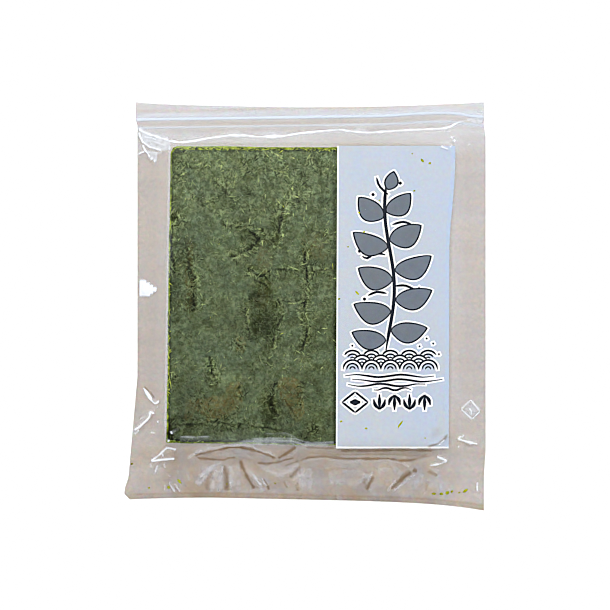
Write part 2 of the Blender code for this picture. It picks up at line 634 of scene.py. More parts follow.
@dataclass(frozen=True)
class MilkyRib:
    """Milky clear plastic of the zip's moulded ribs, with fine streaks along them."""

    name: str
    cover: float
    colour: Colour = (0.79, 0.90, 1.0)
    streak_colour: Colour = (0.711, 0.810, 0.900)
    streaks: Triple = (30.0, 900.0, 900.0)
    tint: Colour = (0.93, 0.92, 0.91)
    roughness: float = 0.2

    def material(self) -> bpy.types.Material:
        """Builds the material."""
        bench = Bench(self.name)
        streak = bench.noise(bench.turned(0.0, self.streaks), 1.0, 2.0)
        body = bench.solid(bench.blend(streak, self.colour, self.streak_colour), self.roughness, IOR=1.5)
        through = bench.add("BsdfTransparent", {"Color": self.tint}).outputs[0]
        return bench.finish(bench.mix(self.cover, through, body))


@dataclass(frozen=True)
class Cover:
    """How far a layer of colour covers the sheet.

    Attributes:
        start: Where in its noise the layer starts.
        full: Where in its noise the layer is full.
        calm: Its share where the sheet is smooth.
        torn: Its share where the sheet is crumpled.
    """

    start: float
    full: float
    calm: float
    torn: float


@dataclass(frozen=True)
class CrumpleLines:
    """Thin crumple lines: roughly how many there are to the metre, and half a line's width.

    The width is a step of the noise that the lines follow. A pale lip lies beside each line: the
    line is painted shade and the lip painted light.
    """

    scale: float
    half_width: float
    soft_start: float = 0.3
    lip_place: float = 2.4
    lip_reach: float = 1.3

    def read(self, bench: Bench) -> tuple[Socket, Socket]:
        """Reads the lines.

        Args:
            bench: The material's bench.

        Returns:
            Two sockets with 1 on the dark lines and on the pale lips.
        """
        place = bench.turned(0.0, (1.0, 1.0, 1.0), (0.01 * self.scale, 0.0, 0.0))
        off = bench.calc("SUBTRACT", bench.noise(place, self.scale, 2.0, 0.6), 0.5)
        inner = self.soft_start * self.half_width
        dark = bench.remap(bench.calc("ABSOLUTE", off), inner, self.half_width, 1.0, 0.0)
        beside = bench.calc("ABSOLUTE", bench.calc("SUBTRACT", off, self.lip_place * self.half_width))
        return dark, bench.remap(beside, inner, self.lip_reach * self.half_width, 1.0, 0.0)


@dataclass(frozen=True)
class RoastedNori:
    """Dusty sage green dried seaweed. It reads tone, crumpling, stains, brown patches and the rim.

    Its colours come first. cool, warm and yellowed multiply the colour. Angles are in degrees, and
    strand says how often strands repeat along and across themselves and in height, to the metre.
    Tone and stains carry painted light and shade too, and the rim is painted as light shining
    through the thin edges.
    """

    name: str = "roasted_nori"
    deep: Colour = (0.026, 0.036, 0.010)
    olive: Colour = (0.062, 0.080, 0.022)
    mid: Colour = (0.110, 0.152, 0.074)
    pale: Colour = (0.265, 0.330, 0.180)
    # stain colours real stains and the painted shade around crumple lines.
    stain: Colour = (0.044, 0.054, 0.012)
    brown: Colour = (0.152, 0.134, 0.052)
    cool: Colour = (0.990, 0.993, 1.080)
    warm: Colour = (1.020, 1.015, 1.000)
    yellowed: Colour = (1.020, 1.030, 0.880)
    # The rim colours are painted light shining through the thin edges.
    rim: Colour = (0.42, 0.55, 0.020)
    rim_dark: Colour = (0.16, 0.24, 0.010)
    # pits and raised are painted shade in the mottle's pits and painted light on its raised bits.
    pits: Cover = Cover(0.51, 0.40, 0.20, 0.65)
    raised: Cover = Cover(0.51, 0.63, 0.10, 0.45)
    dark_strands: Cover = Cover(0.56, 0.70, 0.10, 0.80)
    light_strands: Cover = Cover(0.57, 0.70, 0.12, 0.50)
    dark_angles: Triple = (52.0, 112.0, 168.0)
    light_angles: Triple = (24.0, 78.0, 141.0)
    strand: Triple = (600.0, 230.0, 400.0)
    coarse: CrumpleLines = CrumpleLines(62.0, 0.011)
    fine: CrumpleLines = CrumpleLines(150.0, 0.020)
    fine_share: float = 0.8
    lip_share: float = 0.50
    line_share: float = 0.55

    def strands(self, bench: Bench, angles: Triple, cover: Cover) -> Socket:
        """Short matted strands lying at several angles.

        Args:
            bench: The material's bench.
            angles: How each layer of strands is turned, in degrees.
            cover: Where in its noise a strand starts and is full.

        Returns:
            A socket with 1 on strands and 0 between them.
        """
        found = None
        for number, angle in enumerate(angles):
            place = bench.turned(angle, self.strand, (3.7 * number, 1.9 * number, 0.0))
            layer = bench.remap(bench.noise(place, 1.0, 1.5), cover.start, cover.full, 0.0, 1.0)
            found = layer if found is None else bench.calc("MAXIMUM", found, layer)
        return found

    def material(self) -> bpy.types.Material:
        """Builds the material."""
        bench = Bench(self.name)
        place = bench.place()
        mottle = bench.noise(place, 330.0, 3.0, 0.58)
        blotch = bench.noise(place, 130.0, 3.0, 0.6)
        torn = bench.remap(bench.marks("crumpled"), 0.0, 0.8, 0.10, 1.0)
        light = self.strands(bench, self.light_angles, self.light_strands)
        dark = self.strands(bench, self.dark_angles, self.dark_strands)
        coarse, coarse_lip = self.coarse.read(bench)
        fine, fine_lip = self.fine.read(bench)
        lines = bench.calc("MAXIMUM", coarse, bench.calc("MULTIPLY", fine, self.fine_share))
        lips = bench.calc("MAXIMUM", coarse_lip, bench.calc("MULTIPLY", fine_lip, self.fine_share))

        def lay(body: Colour | Socket, found: Socket, cover: Cover, colour: Colour) -> Socket:
            """Lays a colour over the body where it's found, more so where the sheet is torn."""
            share = bench.remap(torn, 0.0, 1.0, cover.calm, cover.torn)
            return bench.blend(bench.calc("MULTIPLY", found, share), body, colour)

        def bits(cover: Cover) -> Socket:
            """Where the mottle has such bits, from 0 to 1."""
            return bench.remap(mottle, cover.start, cover.full, 0.0, 1.0)

        def patch(body: Socket, mark: str, low: float, high: float, least: float, colour: Colour) -> Socket:
            """Lays a marked patch's colour over the body, thinner where the mottle is high."""
            share = bench.calc("MULTIPLY", bench.marks(mark), bench.remap(mottle, low, high, 1.0, least))
            return bench.blend(share, body, colour)

        body = bench.blend(bench.remap(blotch, 0.44, 0.58, 0.0, 0.60), self.mid, self.olive)
        # Painted shade in the pits and painted light on the raised bits.
        body = lay(body, bits(self.pits), self.pits, self.deep)
        body = lay(body, bits(self.raised), self.raised, self.pale)
        # Real stains, with the painted shade around crumple lines.
        body = patch(body, "stain_and_shade", 0.3, 0.6, 0.7, self.stain)
        body = patch(body, "browned", 0.38, 0.56, 0.45, self.brown)
        body = lay(body, dark, self.dark_strands, self.deep)
        body = lay(body, light, self.light_strands, self.pale)
        # Pale lips and dark crumple lines: painted light and shade.
        for found, share, colour in ((lips, self.lip_share, self.pale), (lines, self.line_share, self.deep)):
            share = bench.calc("MULTIPLY", torn, share)
            body = bench.blend(bench.calc("MULTIPLY", found, share), body, colour)

        drift = bench.remap(bench.noise(place, 45.0, 4.0, 0.65), 0.40, 0.60, 0.0, 1.0)
        hue = bench.blend(drift, self.cool, self.warm)
        hue = bench.blend(bench.remap(torn, 0.3, 1.0, 0.0, 0.8), hue, self.yellowed)
        # The tone carries painted light and shade of the relief, and a lighter top, which is painted light.
        tone = bench.remap(bench.marks("tone"), -1.0, 1.0, 0.10, 1.90)
        toned = bench.scaled(bench.blend(1.0, body, hue, "MULTIPLY"), tone)
        # The rim's green: painted light shining through the thin edges.
        green = bench.blend(bench.remap(mottle, 0.38, 0.56, 0.0, 1.0), self.rim_dark, self.rim)
        shade = bench.blend(bench.marks("rimmed"), toned, green)

        rough = bench.remap(mottle, 0.3, 0.7, 0.70, 0.52)
        relief = bench.calc("ADD", bench.calc("MULTIPLY", light, 0.4), bench.calc("MULTIPLY", mottle, 0.8))
        relief = bench.calc("SUBTRACT", relief, bench.calc("MULTIPLY", lines, 0.5))
        bump = bench.bump(relief, 0.8, 0.0005)
        return bench.finish(bench.solid(shade, rough, Specular_IOR_Level=0.05, Normal=bump))


@dataclass(frozen=True)
class LooseStrand:
    """Torn strands of seaweed, each with its own tone and some painted light and shade, and a few of them
    yellow, partly as painted glow of the rim.
    """

    deep: Colour = (0.014, 0.019, 0.004)
    mid: Colour = (0.110, 0.150, 0.070)
    pale: Colour = (0.42, 0.52, 0.20)
    yellow: Colour = (0.48, 0.56, 0.06)
    wear_scale: float = 900.0
    roughness: float = 0.55

    def material(self) -> bpy.types.Material:
        """Builds the material."""
        bench = Bench("nori_strand")
        worn = bench.remap(bench.noise(bench.place(), self.wear_scale, 2.0), 0.35, 0.65, 0.65, 1.25)
        tone = bench.marks("tone")
        low = bench.blend(bench.remap(tone, -1.0, 0.0, 0.0, 1.0), self.deep, self.mid)
        body = bench.blend(bench.remap(tone, 0.0, 1.0, 0.0, 1.0), low, self.pale)
        body = bench.blend(bench.marks("rimmed"), body, self.yellow)
        shade = bench.scaled(body, worn)
        return bench.finish(bench.solid(shade, self.roughness, Specular_IOR_Level=0.1))


@dataclass(frozen=True)
class SmoothCard:
    """White card stock. It reads two marks: the strip that bends into the light, painted lighter, and a
    painted highlight along the edges.
    """

    colour: Colour = (0.528, 0.598, 0.700)
    lighter: Colour = (0.615, 0.662, 0.728)
    fibre_colour: Colour = (0.475, 0.538, 0.625)
    # strip and edge are painted light: the bent strip, and a highlight along the left and bottom edges.
    strip: Colour = (0.525, 0.630, 0.780)
    edge: Colour = (0.93, 0.96, 1.0)
    bands: Triple = (60.0, 4.0, 10.0)
    fibre_scale: float = 1800.0
    roughness: float = 0.45

    def material(self) -> bpy.types.Material:
        """Builds the material."""
        bench = Bench("label_card")
        band = bench.noise(bench.turned(0.0, self.bands), 1.0, 1.0)
        fibre = bench.noise(bench.place(), self.fibre_scale, 2.0)
        shade = bench.blend(bench.remap(band, 0.35, 0.65, 0.0, 0.12), self.colour, self.lighter)
        shade = bench.blend(bench.remap(fibre, 0.5, 0.8, 0.0, 0.10), shade, self.fibre_colour)
        shade = bench.blend(bench.marks("bent"), shade, self.strip)
        shade = bench.blend(bench.marks("lit_edge"), shade, self.edge)
        return bench.finish(bench.solid(shade, self.roughness, Normal=bench.bump(fibre, 0.15, 0.0001)))


@dataclass(frozen=True)
class PrintInk:
    """A flat printed colour, slightly uneven."""

    name: str
    colour: Colour
    worn: Colour
    unevenness: float = 0.5
    patch_scale: float = 220.0
    roughness: float = 0.5

    def material(self) -> bpy.types.Material:
        """Builds the material."""
        bench = Bench(self.name)
        noise = bench.noise(bench.place(), self.patch_scale, 4.0)
        patch = bench.remap(noise, 0.35, 0.7, 0.0, self.unevenness)
        return bench.finish(bench.solid(bench.blend(patch, self.colour, self.worn), self.roughness))


# ---------------------------------------------------------------- the bag's film


@dataclass(frozen=True)
class Outline:
    """The flat bag's edges, in millimetres. Pairs are the two ends of a ramp."""

    half_span: float = 126.5
    half_length: float = 143.0
    left_weld: float = -117.35
    header_flare: float = 1.15
    header: Pair = (126.0, 131.0)
    right_tuck: float = 1.2
    upper_tuck: Pair = (118.0, 128.0)
    lower_tuck: Pair = (-98.0, -122.0)
    splay_start: float = -49.0
    splay_end: float = -131.4
    corner_flick: float = 0.2
    flick: Pair = (-118.0, -129.0)
    corner_tuck: float = 4.0
    lip_sag: float = 3.1
    lip_low_point: float = 0.58
    lip_bow: float = 1.8
    lip_corner: float = 0.8
    lip_corner_reach: float = 0.03
    bottom: float = -134.0
    low_point: float = 0.24
    left_drop: float = 1.2
    right_drop: float = 4.0
    corner_drop: float = 5.0
    zip_start: float = 130.5
    zip_rise: float = 3.6
    zip_bump: float = 1.5
    zip_dip: float = 3.0
    bump_zone: Pair = (0.68, 0.86)
    dip_zone: Pair = (0.885, 1.0)

    def share(self, x: Array) -> Array:
        """The share of the widest span at X, from 0 on the left to 1 on the right."""
        return np.clip((x + self.half_span) / (2 * self.half_span), 0.0, 1.0)

    def left(self, y: Array) -> Array:
        """Follows the left edge, which splays out towards the bottom.

        Args:
            y: Places along the bag.

        Returns:
            X there.
        """
        splay = np.clip((self.splay_start - y) / (self.splay_start - self.splay_end), 0.0, 1.0)
        splay = (1.0 - self.corner_flick) * splay + self.corner_flick * ramp(*self.flick, y)
        tuck = self.corner_tuck * np.clip((self.splay_end - y) / self.corner_tuck, 0.0, 1.0)
        flare = self.header_flare * ramp(*self.header, y)
        return self.left_weld - (self.half_span + self.left_weld) * splay + tuck - flare

    def right(self, y: Array) -> Array:
        """X of the right edge at Y."""
        return self.half_span - self.right_tuck * (ramp(*self.upper_tuck, y) + ramp(*self.lower_tuck, y))

    def top(self, u: Array) -> Array:
        """Follows the lips.

        Args:
            u: Shares of the width.

        Returns:
            Y there.
        """
        side = np.where(u < self.lip_low_point, self.lip_low_point, 1.0 - self.lip_low_point)
        sag = self.lip_sag * (1.0 - np.abs((u - self.lip_low_point) / side) ** self.lip_bow)
        corner = self.lip_corner * (1.0 - np.exp(-u / self.lip_corner_reach)) * (1.0 - u)
        return self.half_length - sag - corner

    def low(self, u: Array) -> Array:
        """Follows the bottom edge.

        Args:
            u: Shares of the width.

        Returns:
            Y there.
        """
        left = np.clip(self.low_point - u, 0.0, None) / self.low_point
        right = np.clip(u - self.low_point, 0.0, None) / (1.0 - self.low_point)
        return self.bottom - self.left_drop * left**2 - self.right_drop * right - self.corner_drop * right**6

    def zip_line(self, u: Array) -> Array:
        """Y of the middle of the zip at the share u of the width."""
        swerve = self.zip_bump * ramp(*self.bump_zone, u) - self.zip_dip * ramp(*self.dip_zone, u)
        return self.zip_start + self.zip_rise * u + swerve


@dataclass(frozen=True)
class CreaseProfile:
    """What all creases share. Lengths are shares of a crease's own width.

    A white and a brown line lie apart from each other, each with a core and a soft side: painted
    light beside the white one, and painted shade beside the brown one.
    """

    reach: float = 10.0
    end_width: float = 0.4
    waver: float = 0.6
    waver_pitch: float = 3.0
    flank: float = 2.4
    apart: float = 1.5
    # The soft sides are painted light beside the white line and painted shade beside the brown one.
    lit_side: float = 3.2
    stain: float = 3.0
    lit_side_strength: float = 0.45
    stain_strength: float = 0.40
    white_core: float = 0.7
    brown_core: float = 0.95


@dataclass(frozen=True)
class Crease:
    """A fold in the film, in millimetres: a low ridge that shows as a white or a brown line.

    Attributes:
        path: Its course.
        width: Half its width.
        white: How white the crease is, from 0 to 1: the film's whitening and a painted glint.
        shade: How much brown lies along it, from 0 to 1: doubled film and painted shade.
        side: 1 when its pale side is on the left of its course, and -1 when it's on the right.
        ends: Over which share of its length it fades in and out.
        rise: Its height as a share of its width.
        profile: What it shares with the other creases.
    """

    path: Path
    width: float = 0.8
    white: float = 0.0
    shade: float = 0.0
    side: int = 1
    ends: float = 0.15
    rise: float = 0.55
    profile: CreaseProfile = CreaseProfile()

    def nearby(self, x: Array, y: Array) -> Array:
        """Finds the places that are close enough for the crease to show there.

        Args:
            x: Places.
            y: Places.

        Returns:
            Whether each place is close enough.
        """
        places, reach = np.array(self.path), self.profile.reach * self.width
        low, high = places.min(axis=0) - reach, places.max(axis=0) + reach
        return (x > low[0]) & (x < high[0]) & (y > low[1]) & (y < high[1])

    def read(self, x: Array, y: Array) -> tuple[Array, Array, Array]:
        """Reads the crease.

        Args:
            x: Places.
            y: Places.

        Returns:
            Its height, its whiteness and its brownness.
        """
        like = self.profile
        distance, share = along_path(self.path, x, y)
        distance = distance * self.side
        fade = ramp(0.0, self.ends, share) * ramp(1.0, 1.0 - self.ends, share)
        waver = 1.0 + like.waver * Grain(17).at(x, y, like.waver_pitch)
        width = self.width * (like.end_width + (1.0 - like.end_width) * fade) * waver
        height = bell(distance, np.where(distance > 0, width, like.flank * width))
        apart = like.apart * width
        pale_at, brown_at = (0.0, -apart) if self.white >= self.shade else (apart, 0.0)
        # Painted light on the pale side and painted shade on the brown side.
        lit_side = np.exp(-np.abs(distance - pale_at) / (like.lit_side * self.width)) * (distance > pale_at)
        stain = np.exp(-np.abs(distance - brown_at) / (like.stain * self.width)) * (distance < brown_at)
        lit_side *= like.lit_side_strength * (1.0 - 0.5 * self.white)
        white = self.white * np.maximum(bell(distance - pale_at, like.white_core * width), lit_side)
        line_cover = bell(distance - brown_at, like.brown_core * width)
        shade = self.shade * np.maximum(line_cover, like.stain_strength * stain)
        return self.rise * self.width * height * fade, white * fade, shade * fade


@dataclass(frozen=True)
class Facet:
    """A small flat patch of film that tips into the light, in millimetres.

    Attributes:
        corners: Its corners, counter-clockwise.
        lift: Height of its middle.
        white: How white it is, from 0 to 1: a painted reflection of the light.
        edge: Over which distance its white comes in.
    """

    corners: Path
    lift: float = 0.8
    white: float = 0.7
    edge: float = 0.35

    def read(self, x: Array, y: Array) -> tuple[Array, Array]:
        """Reads the facet.

        Args:
            x: Places.
            y: Places.

        Returns:
            Its height and its whiteness.
        """
        depth = inside_depth(self.corners, x, y)
        deepest = float(np.max(depth, initial=0.1))
        roof = np.clip(depth / deepest, 0.0, 1.0)
        uneven = 1.0 - 0.9 * (1.0 - self.white) * Grain(19).creased(x, y, 5.0)
        return self.lift * roof, self.white * ramp(-0.2, self.edge, depth) * uneven


# In the crease tables, white is the film's whitening and a painted glint, and shade is doubled film and
# painted shade.
MOUTH_FOLDS = (
    Crease(curve(
        115.5, 131, 107, 128.5, 99.5, 125, 87.5, 124, 66.5, 123, 47, 121.5, 38.5, 121.5, 28.5, 123,
        24.5, 123.5, 12, 122.5, -3, 121, -20, 118.5, -32.5, 118.5, -44.5, 119.5, -55.5, 119,
        -70.5, 117, -84.5, 114.5, -101.5, 116.5
    ), 0.80, 0.95, 0.25, ends=0.05),
    Crease(line(-90, 114.6, -78, 115.4, -66, 118), 1.1, 0.85, ends=0.4),
    Crease(line(-60, 119, -50, 119.5, -40, 119.3), 1.25, 0.9, ends=0.4),
    Crease(line(-35, 118.6, -24, 118.6, -12, 119.8), 1.35, 0.9, ends=0.4),
    Crease(line(30, 122.7, 38, 121.6, 47, 121.5), 1.2, 0.85, ends=0.4),
    Crease(line(-117, 125, -114, 122.5, -108.5, 120, -101.5, 118, -94.5, 116), 1.0, 0.72, 0.25, ends=0.08),
    Crease(line(
        -116.5, 122.5, -115.5, 119, -113.5, 115, -108.5, 111.5, -101.5, 109.5, -99.5, 108.5
    ), 0.75, 0.9, 0.3, ends=0.08),
    Crease(line(-113.5, 119, -110.5, 118, -108, 118, -103, 116), 0.6, 0.6, 0.25),
    Crease(line(-111.5, 116.5, -108.5, 115, -106.5, 112), 0.6, 0.45, 0.25),
    Crease(line(-107, 115.5, -102, 114, -98, 111.5), 0.7, 0.45, 0.25),
    Crease(line(-114, 113.5, -112, 109.5, -108.5, 104.5, -104, 100.5), 0.75, 0.9, 0.2, ends=0.08),
    Crease(line(-117, 106, -115, 107.5, -112, 108), 0.7, 0.85, 0.2),
    Crease(line(-110, 108, -103.5, 107, -98.5, 107.5), 0.7, 0.3, 0.12),
    Crease(line(94.5, 112, 97.5, 110.5, 100.5, 109.5), 0.8, 0.95, 0.15),
    Crease(line(101, 110.5, 103, 113), 0.7, 0.95, ends=0.3),
    Crease(line(102, 119, 102.5, 117), 0.8, 0.95, ends=0.3),
    Crease(line(104.5, 117, 104.5, 114.5), 0.9, 0.95, ends=0.3),
    Crease(line(103, 122.5, 96.5, 121.5), 1.2, 0.16, ends=0.4),
    Crease(line(113.5, 111.5, 116, 114.5), 1.3, 0.18, ends=0.4),
)

# Painted white glints on the folds at the left side.
LEFT_FOLDS = (
    Crease(line(-113, -56, -108, -60, -105, -64.5), 0.5, 0.0, 0.5, ends=0.1),
    Crease(line(-108, -65.5, -105, -68, -103, -67, -102, -65.5), 0.75, 0.95, 0.2, ends=0.1),
    Crease(line(-103.5, -70, -103, -71), 0.6, 0.5),
    Crease(line(
        -120, -87, -115.5, -84, -111, -80, -109, -77.5, -108, -74, -105, -75
    ), 1.0, 1.0, 0.2, ends=0.05),
    Crease(line(-119.5, -90, -116, -86.5), 0.7, 0.75, 0.15),
    Crease(line(-115.5, -79, -111, -77), 0.7, 0.45, 0.1),
    Crease(line(-103.5, -80, -102.5, -81.5), 0.6, 0.8),
    Crease(line(-108, -88.5, -105, -88.5), 0.6, 0.5),
    Crease(line(-94, -87, -92.5, -89.5), 0.8, 0.9, ends=0.3),
    Crease(line(-96, -95, -94.5, -93), 0.8, 0.9, ends=0.3),
    Crease(line(-114, 17, -113.5, 11.5, -108.5, 6), 0.7, 0.35, 0.25),
)

# Painted white glints on the folds at the stack's lower left corner.
LOWER_LEFT_FOLDS = (
    Crease(line(
        -89.5, -100, -93, -99.5, -96.5, -99, -101.5, -103.5, -108, -108.5
    ), 0.9, 1.0, 0.2, ends=0.05),
    Crease(line(-108, -108.5, -101.5, -107.5, -96.5, -107, -91, -106.5), 0.9, 1.0, 0.2, ends=0.05),
    Crease(line(-99.5, -103, -99.5, -105), 0.6, 0.8),
    Crease(line(-103, -111, -105.5, -117.5), 0.7, 0.65, 0.2),
    Crease(line(-99, -109.5, -98, -113.5), 0.6, 0.4, 0.1),
    Crease(line(-108, -109.5, -108, -113), 0.6, 0.35, 0.1),
    Crease(line(-95.5, -123, -91, -130.5), 0.7, 0.55, 0.35),
    Crease(line(-91.5, -123.5, -87, -130.5), 0.7, 0.45, 0.4),
    Crease(line(-98, -124.5, -98.5, -130), 0.9, 0.25, 0.15),
)

# Brown folds under the stack: doubled film and painted shade; the lines just under the card's bottom edge
# are a painted shadow.
TENTS = (
    Crease(line(-6, -98, -12.5, -102.5, -19, -106.5), 1.2, 0.17, 0.93, ends=0.05),
    Crease(line(
        -19, -106.5, -27.5, -103.5, -36, -100.5, -45, -98.5, -53, -98.5, -61.5, -100.5, -71, -102.5,
        -78.5, -105
    ), 1.2, 0.26, 0.93, side=-1, ends=0.05),
    Crease(line(-55, -97.5, -66.5, -99.5, -75, -102, -83, -106.5), 1.5, 0.26, ends=0.1),
    Crease(line(
        -46.5, -105.5, -53, -106, -56.5, -107.5, -64, -107, -70, -106.5, -77, -105.5
    ), 1.1, 0.14, 0.82, ends=0.1),
    Crease(line(
        -6.5, -106, -14, -107.5, -20, -109.5, -27.5, -110, -34.5, -109.5
    ), 1.1, 0.14, 0.82, ends=0.08),
    Crease(line(-4, -108, -10, -110, -14.5, -112), 0.96, 0.11, 0.64, ends=0.1),
    Crease(line(
        81, -106, 74, -107.5, 67, -108, 59, -106.5, 45, -106.5, 28, -106.5, 14.5, -105, 2.5, -105.5,
        -2, -107.5, -5, -110
    ), 1.1, 0.2, 0.78, ends=0.05),
    Crease(line(90.5, -101, 68.5, -100.5, 45.5, -101, 23.5, -101), 1.0, 0, 0.72, ends=0.04),
    Crease(line(
        92.5, -105, 80, -105, 63, -103.5, 43.5, -103.5, 26, -104, 9, -103, -3.5, -101.5
    ), 0.9, 0.085, 0.42, ends=0.1),
    Crease(line(87.5, -103, 77, -106.5, 68.5, -107), 1.8, 0, 0.42),
    Crease(line(21.5, -99.5, 9, -99, -0.5, -98), 0.96, 0.085, 0.57, ends=0.1),
)

# Pleats in the slack film: brown lines of painted shade and pale strokes of painted light.
PLEATS = (
    Crease(line(-57, -108, -66, -113, -71.5, -117.5, -75, -121), 3.6, 0.2, 0.11),
    Crease(line(-63.5, -114.5, -68, -121, -68.5, -126, -67, -130.5), 2.5, 0.06, 0.5),
    Crease(line(-61.5, -112.5, -64, -120, -64.5, -130), 3, 0.22),
    Crease(line(-58, -110, -59, -120, -59.5, -130), 2.4, 0.2),
    Crease(line(-57.5, -109.5, -55, -117.5, -54.5, -124.5, -55.5, -130.5), 2.2, 0.06, 0.76),
    Crease(line(-52, -110.5, -50, -128), 3.2, 0.2),
    Crease(line(
        -45.5, -107, -44, -112, -42, -116.5, -38.5, -123, -35, -128
    ), 1.5, 0.15, 0.84, ends=0.06),
    Crease(line(-39, -118.5, -31.5, -128), 1.4, 0.42, 0.5),
    Crease(line(-31, -120, -26.5, -126.5), 1.1, 0.38, 0.38),
    Crease(line(-29.5, -120, -26, -126, -25, -129.5), 1.4, 0, 0.76),
    Crease(line(-33.5, -111, -25, -115.5, -16.5, -117.5, -9, -113.5, -2.5, -109), 3, 0.18, 0.16),
    Crease(line(-3, -111, -7.5, -117, -11.5, -120.5), 1.9, 0.18, 0.62),
    Crease(line(-15, -122.5, -12, -127.5), 1.1, 0.15, 0.58),
    Crease(line(-5.5, -123, -5, -130), 1.5, 0.06, 0.5),
    Crease(line(-1.5, -112, -2.5, -120, -1.5, -128.5), 3.9, 0.16, 0.11),
    Crease(line(21, -121.5, 20, -130), 2.2, 0.072, 0.18),
    Crease(line(47.5, -115.5, 45.5, -119.5, 44, -123), 1.1, 0.3, 0.25),
    Crease(line(48, -118, 45.5, -123.5, 42.5, -129.5), 1.8, 0.12, 0.82),
    Crease(line(42.5, -120, 41, -124.5), 1.4, 0.09, 0.5),
    Crease(line(76.5, -115.5, 71.5, -118, 65, -123, 59, -129.5), 1.9, 0.12, 0.82),
    Crease(line(79, -116, 74, -120, 68.5, -124.5, 60, -130.5), 1.2, 0.3),
    Crease(line(64.5, -121, 60, -125.5, 57.5, -130.5), 1.1, 0.3, 0.25),
    Crease(line(68, -110, 71.5, -111.5, 73, -113), 1.2, 0.24, 0.11),
    Crease(line(75, -114.5, 78.5, -115.5), 1.9, 0.06, 0.84),
    Crease(line(85.5, -114.5, 89, -117, 93.5, -118.5), 1.9, 0.14, 0.5),
    Crease(line(81, -122.5, 80, -128), 2, 0.072, 0.32),
    Crease(line(86, -121.5, 84.5, -129.5), 1.9, 0.09, 0.38),
)

# Painted white glints on the folds at the right side.
RIGHT_FOLDS = (
    Crease(line(92, -105, 96, -106.5, 99.5, -108.5), 1.0, 1.0, 0.2, ends=0.06),
    Crease(line(87.5, -111.5, 93.5, -110.5, 99.5, -108.5), 0.9, 1.0, 0.2, ends=0.06),
    Crease(line(106.5, -92, 110.5, -94, 114, -95, 121, -96.5), 1.1, 1.0, 0.25, ends=0.06),
    Crease(line(107, -91.5, 110, -91.5, 111.5, -89.5), 0.7, 0.85, 0.1),
    Crease(line(106.5, -98, 108, -98.5), 0.6, 0.55, ends=0.3),
    Crease(line(120.5, -122.5, 120.5, -126.5, 121, -130.5), 0.7, 0.85, 0.15),
    Crease(line(116, -65.5, 122.5, -73.5), 0.7, 0.8, 0.2, ends=0.05),
    Crease(line(122.5, -73.5, 117, -79), 0.7, 1.0, 0.2, ends=0.05),
    Crease(line(117, -79, 109, -72), 0.7, 0.85, 0.25, ends=0.05),
    Crease(line(109, -72, 116, -65.5), 0.7, 0.55, 0.15, ends=0.05),
    Crease(line(114.5, -71, 116.5, -73.5, 116, -76.5), 0.7, 0.8),
)

# Painted gleams on the film over the stack, and painted shade at the card's lower right corner.
STACK_GLEAMS = (
    Crease(line(20.5, -96.5, -1.5, -96.5, -10, -94, -30, -94, -47, -95), 2.0, 0.3, ends=0.1, rise=0.0),
    Crease(line(
        20.5, -94.5, 7.5, -96, -0.5, -94.5, -6.5, -92.5, -23, -92, -40, -92.5
    ), 0.55, 0.25, ends=0.1, rise=0.2),
    Crease(line(-65.5, -91, -76.5, -91.5, -89, -91), 0.8, 0.3, rise=0.1),
    Crease(line(-3.5, -93, -13.5, -88.5, -30, -89), 0.5, 0.12, ends=0.2, rise=0.1),
    Crease(line(84.5, -98.5, 92.5, -96, 97.5, -92.5, 100, -88.5), 0.9, 0.1, 0.55, rise=0.1),
    Crease(line(93, -97.5, 97.5, -93), 0.5, 0.9, rise=0.3),
    Crease(line(98.5, -98, 99.5, -98), 0.5, 0.9, ends=0.3, rise=0.3),
    Crease(line(87.5, -93.5, 91.5, -88.5, 94.5, -82.5), 2.2, 0.0, 0.10, ends=0.3, rise=0.1),
)

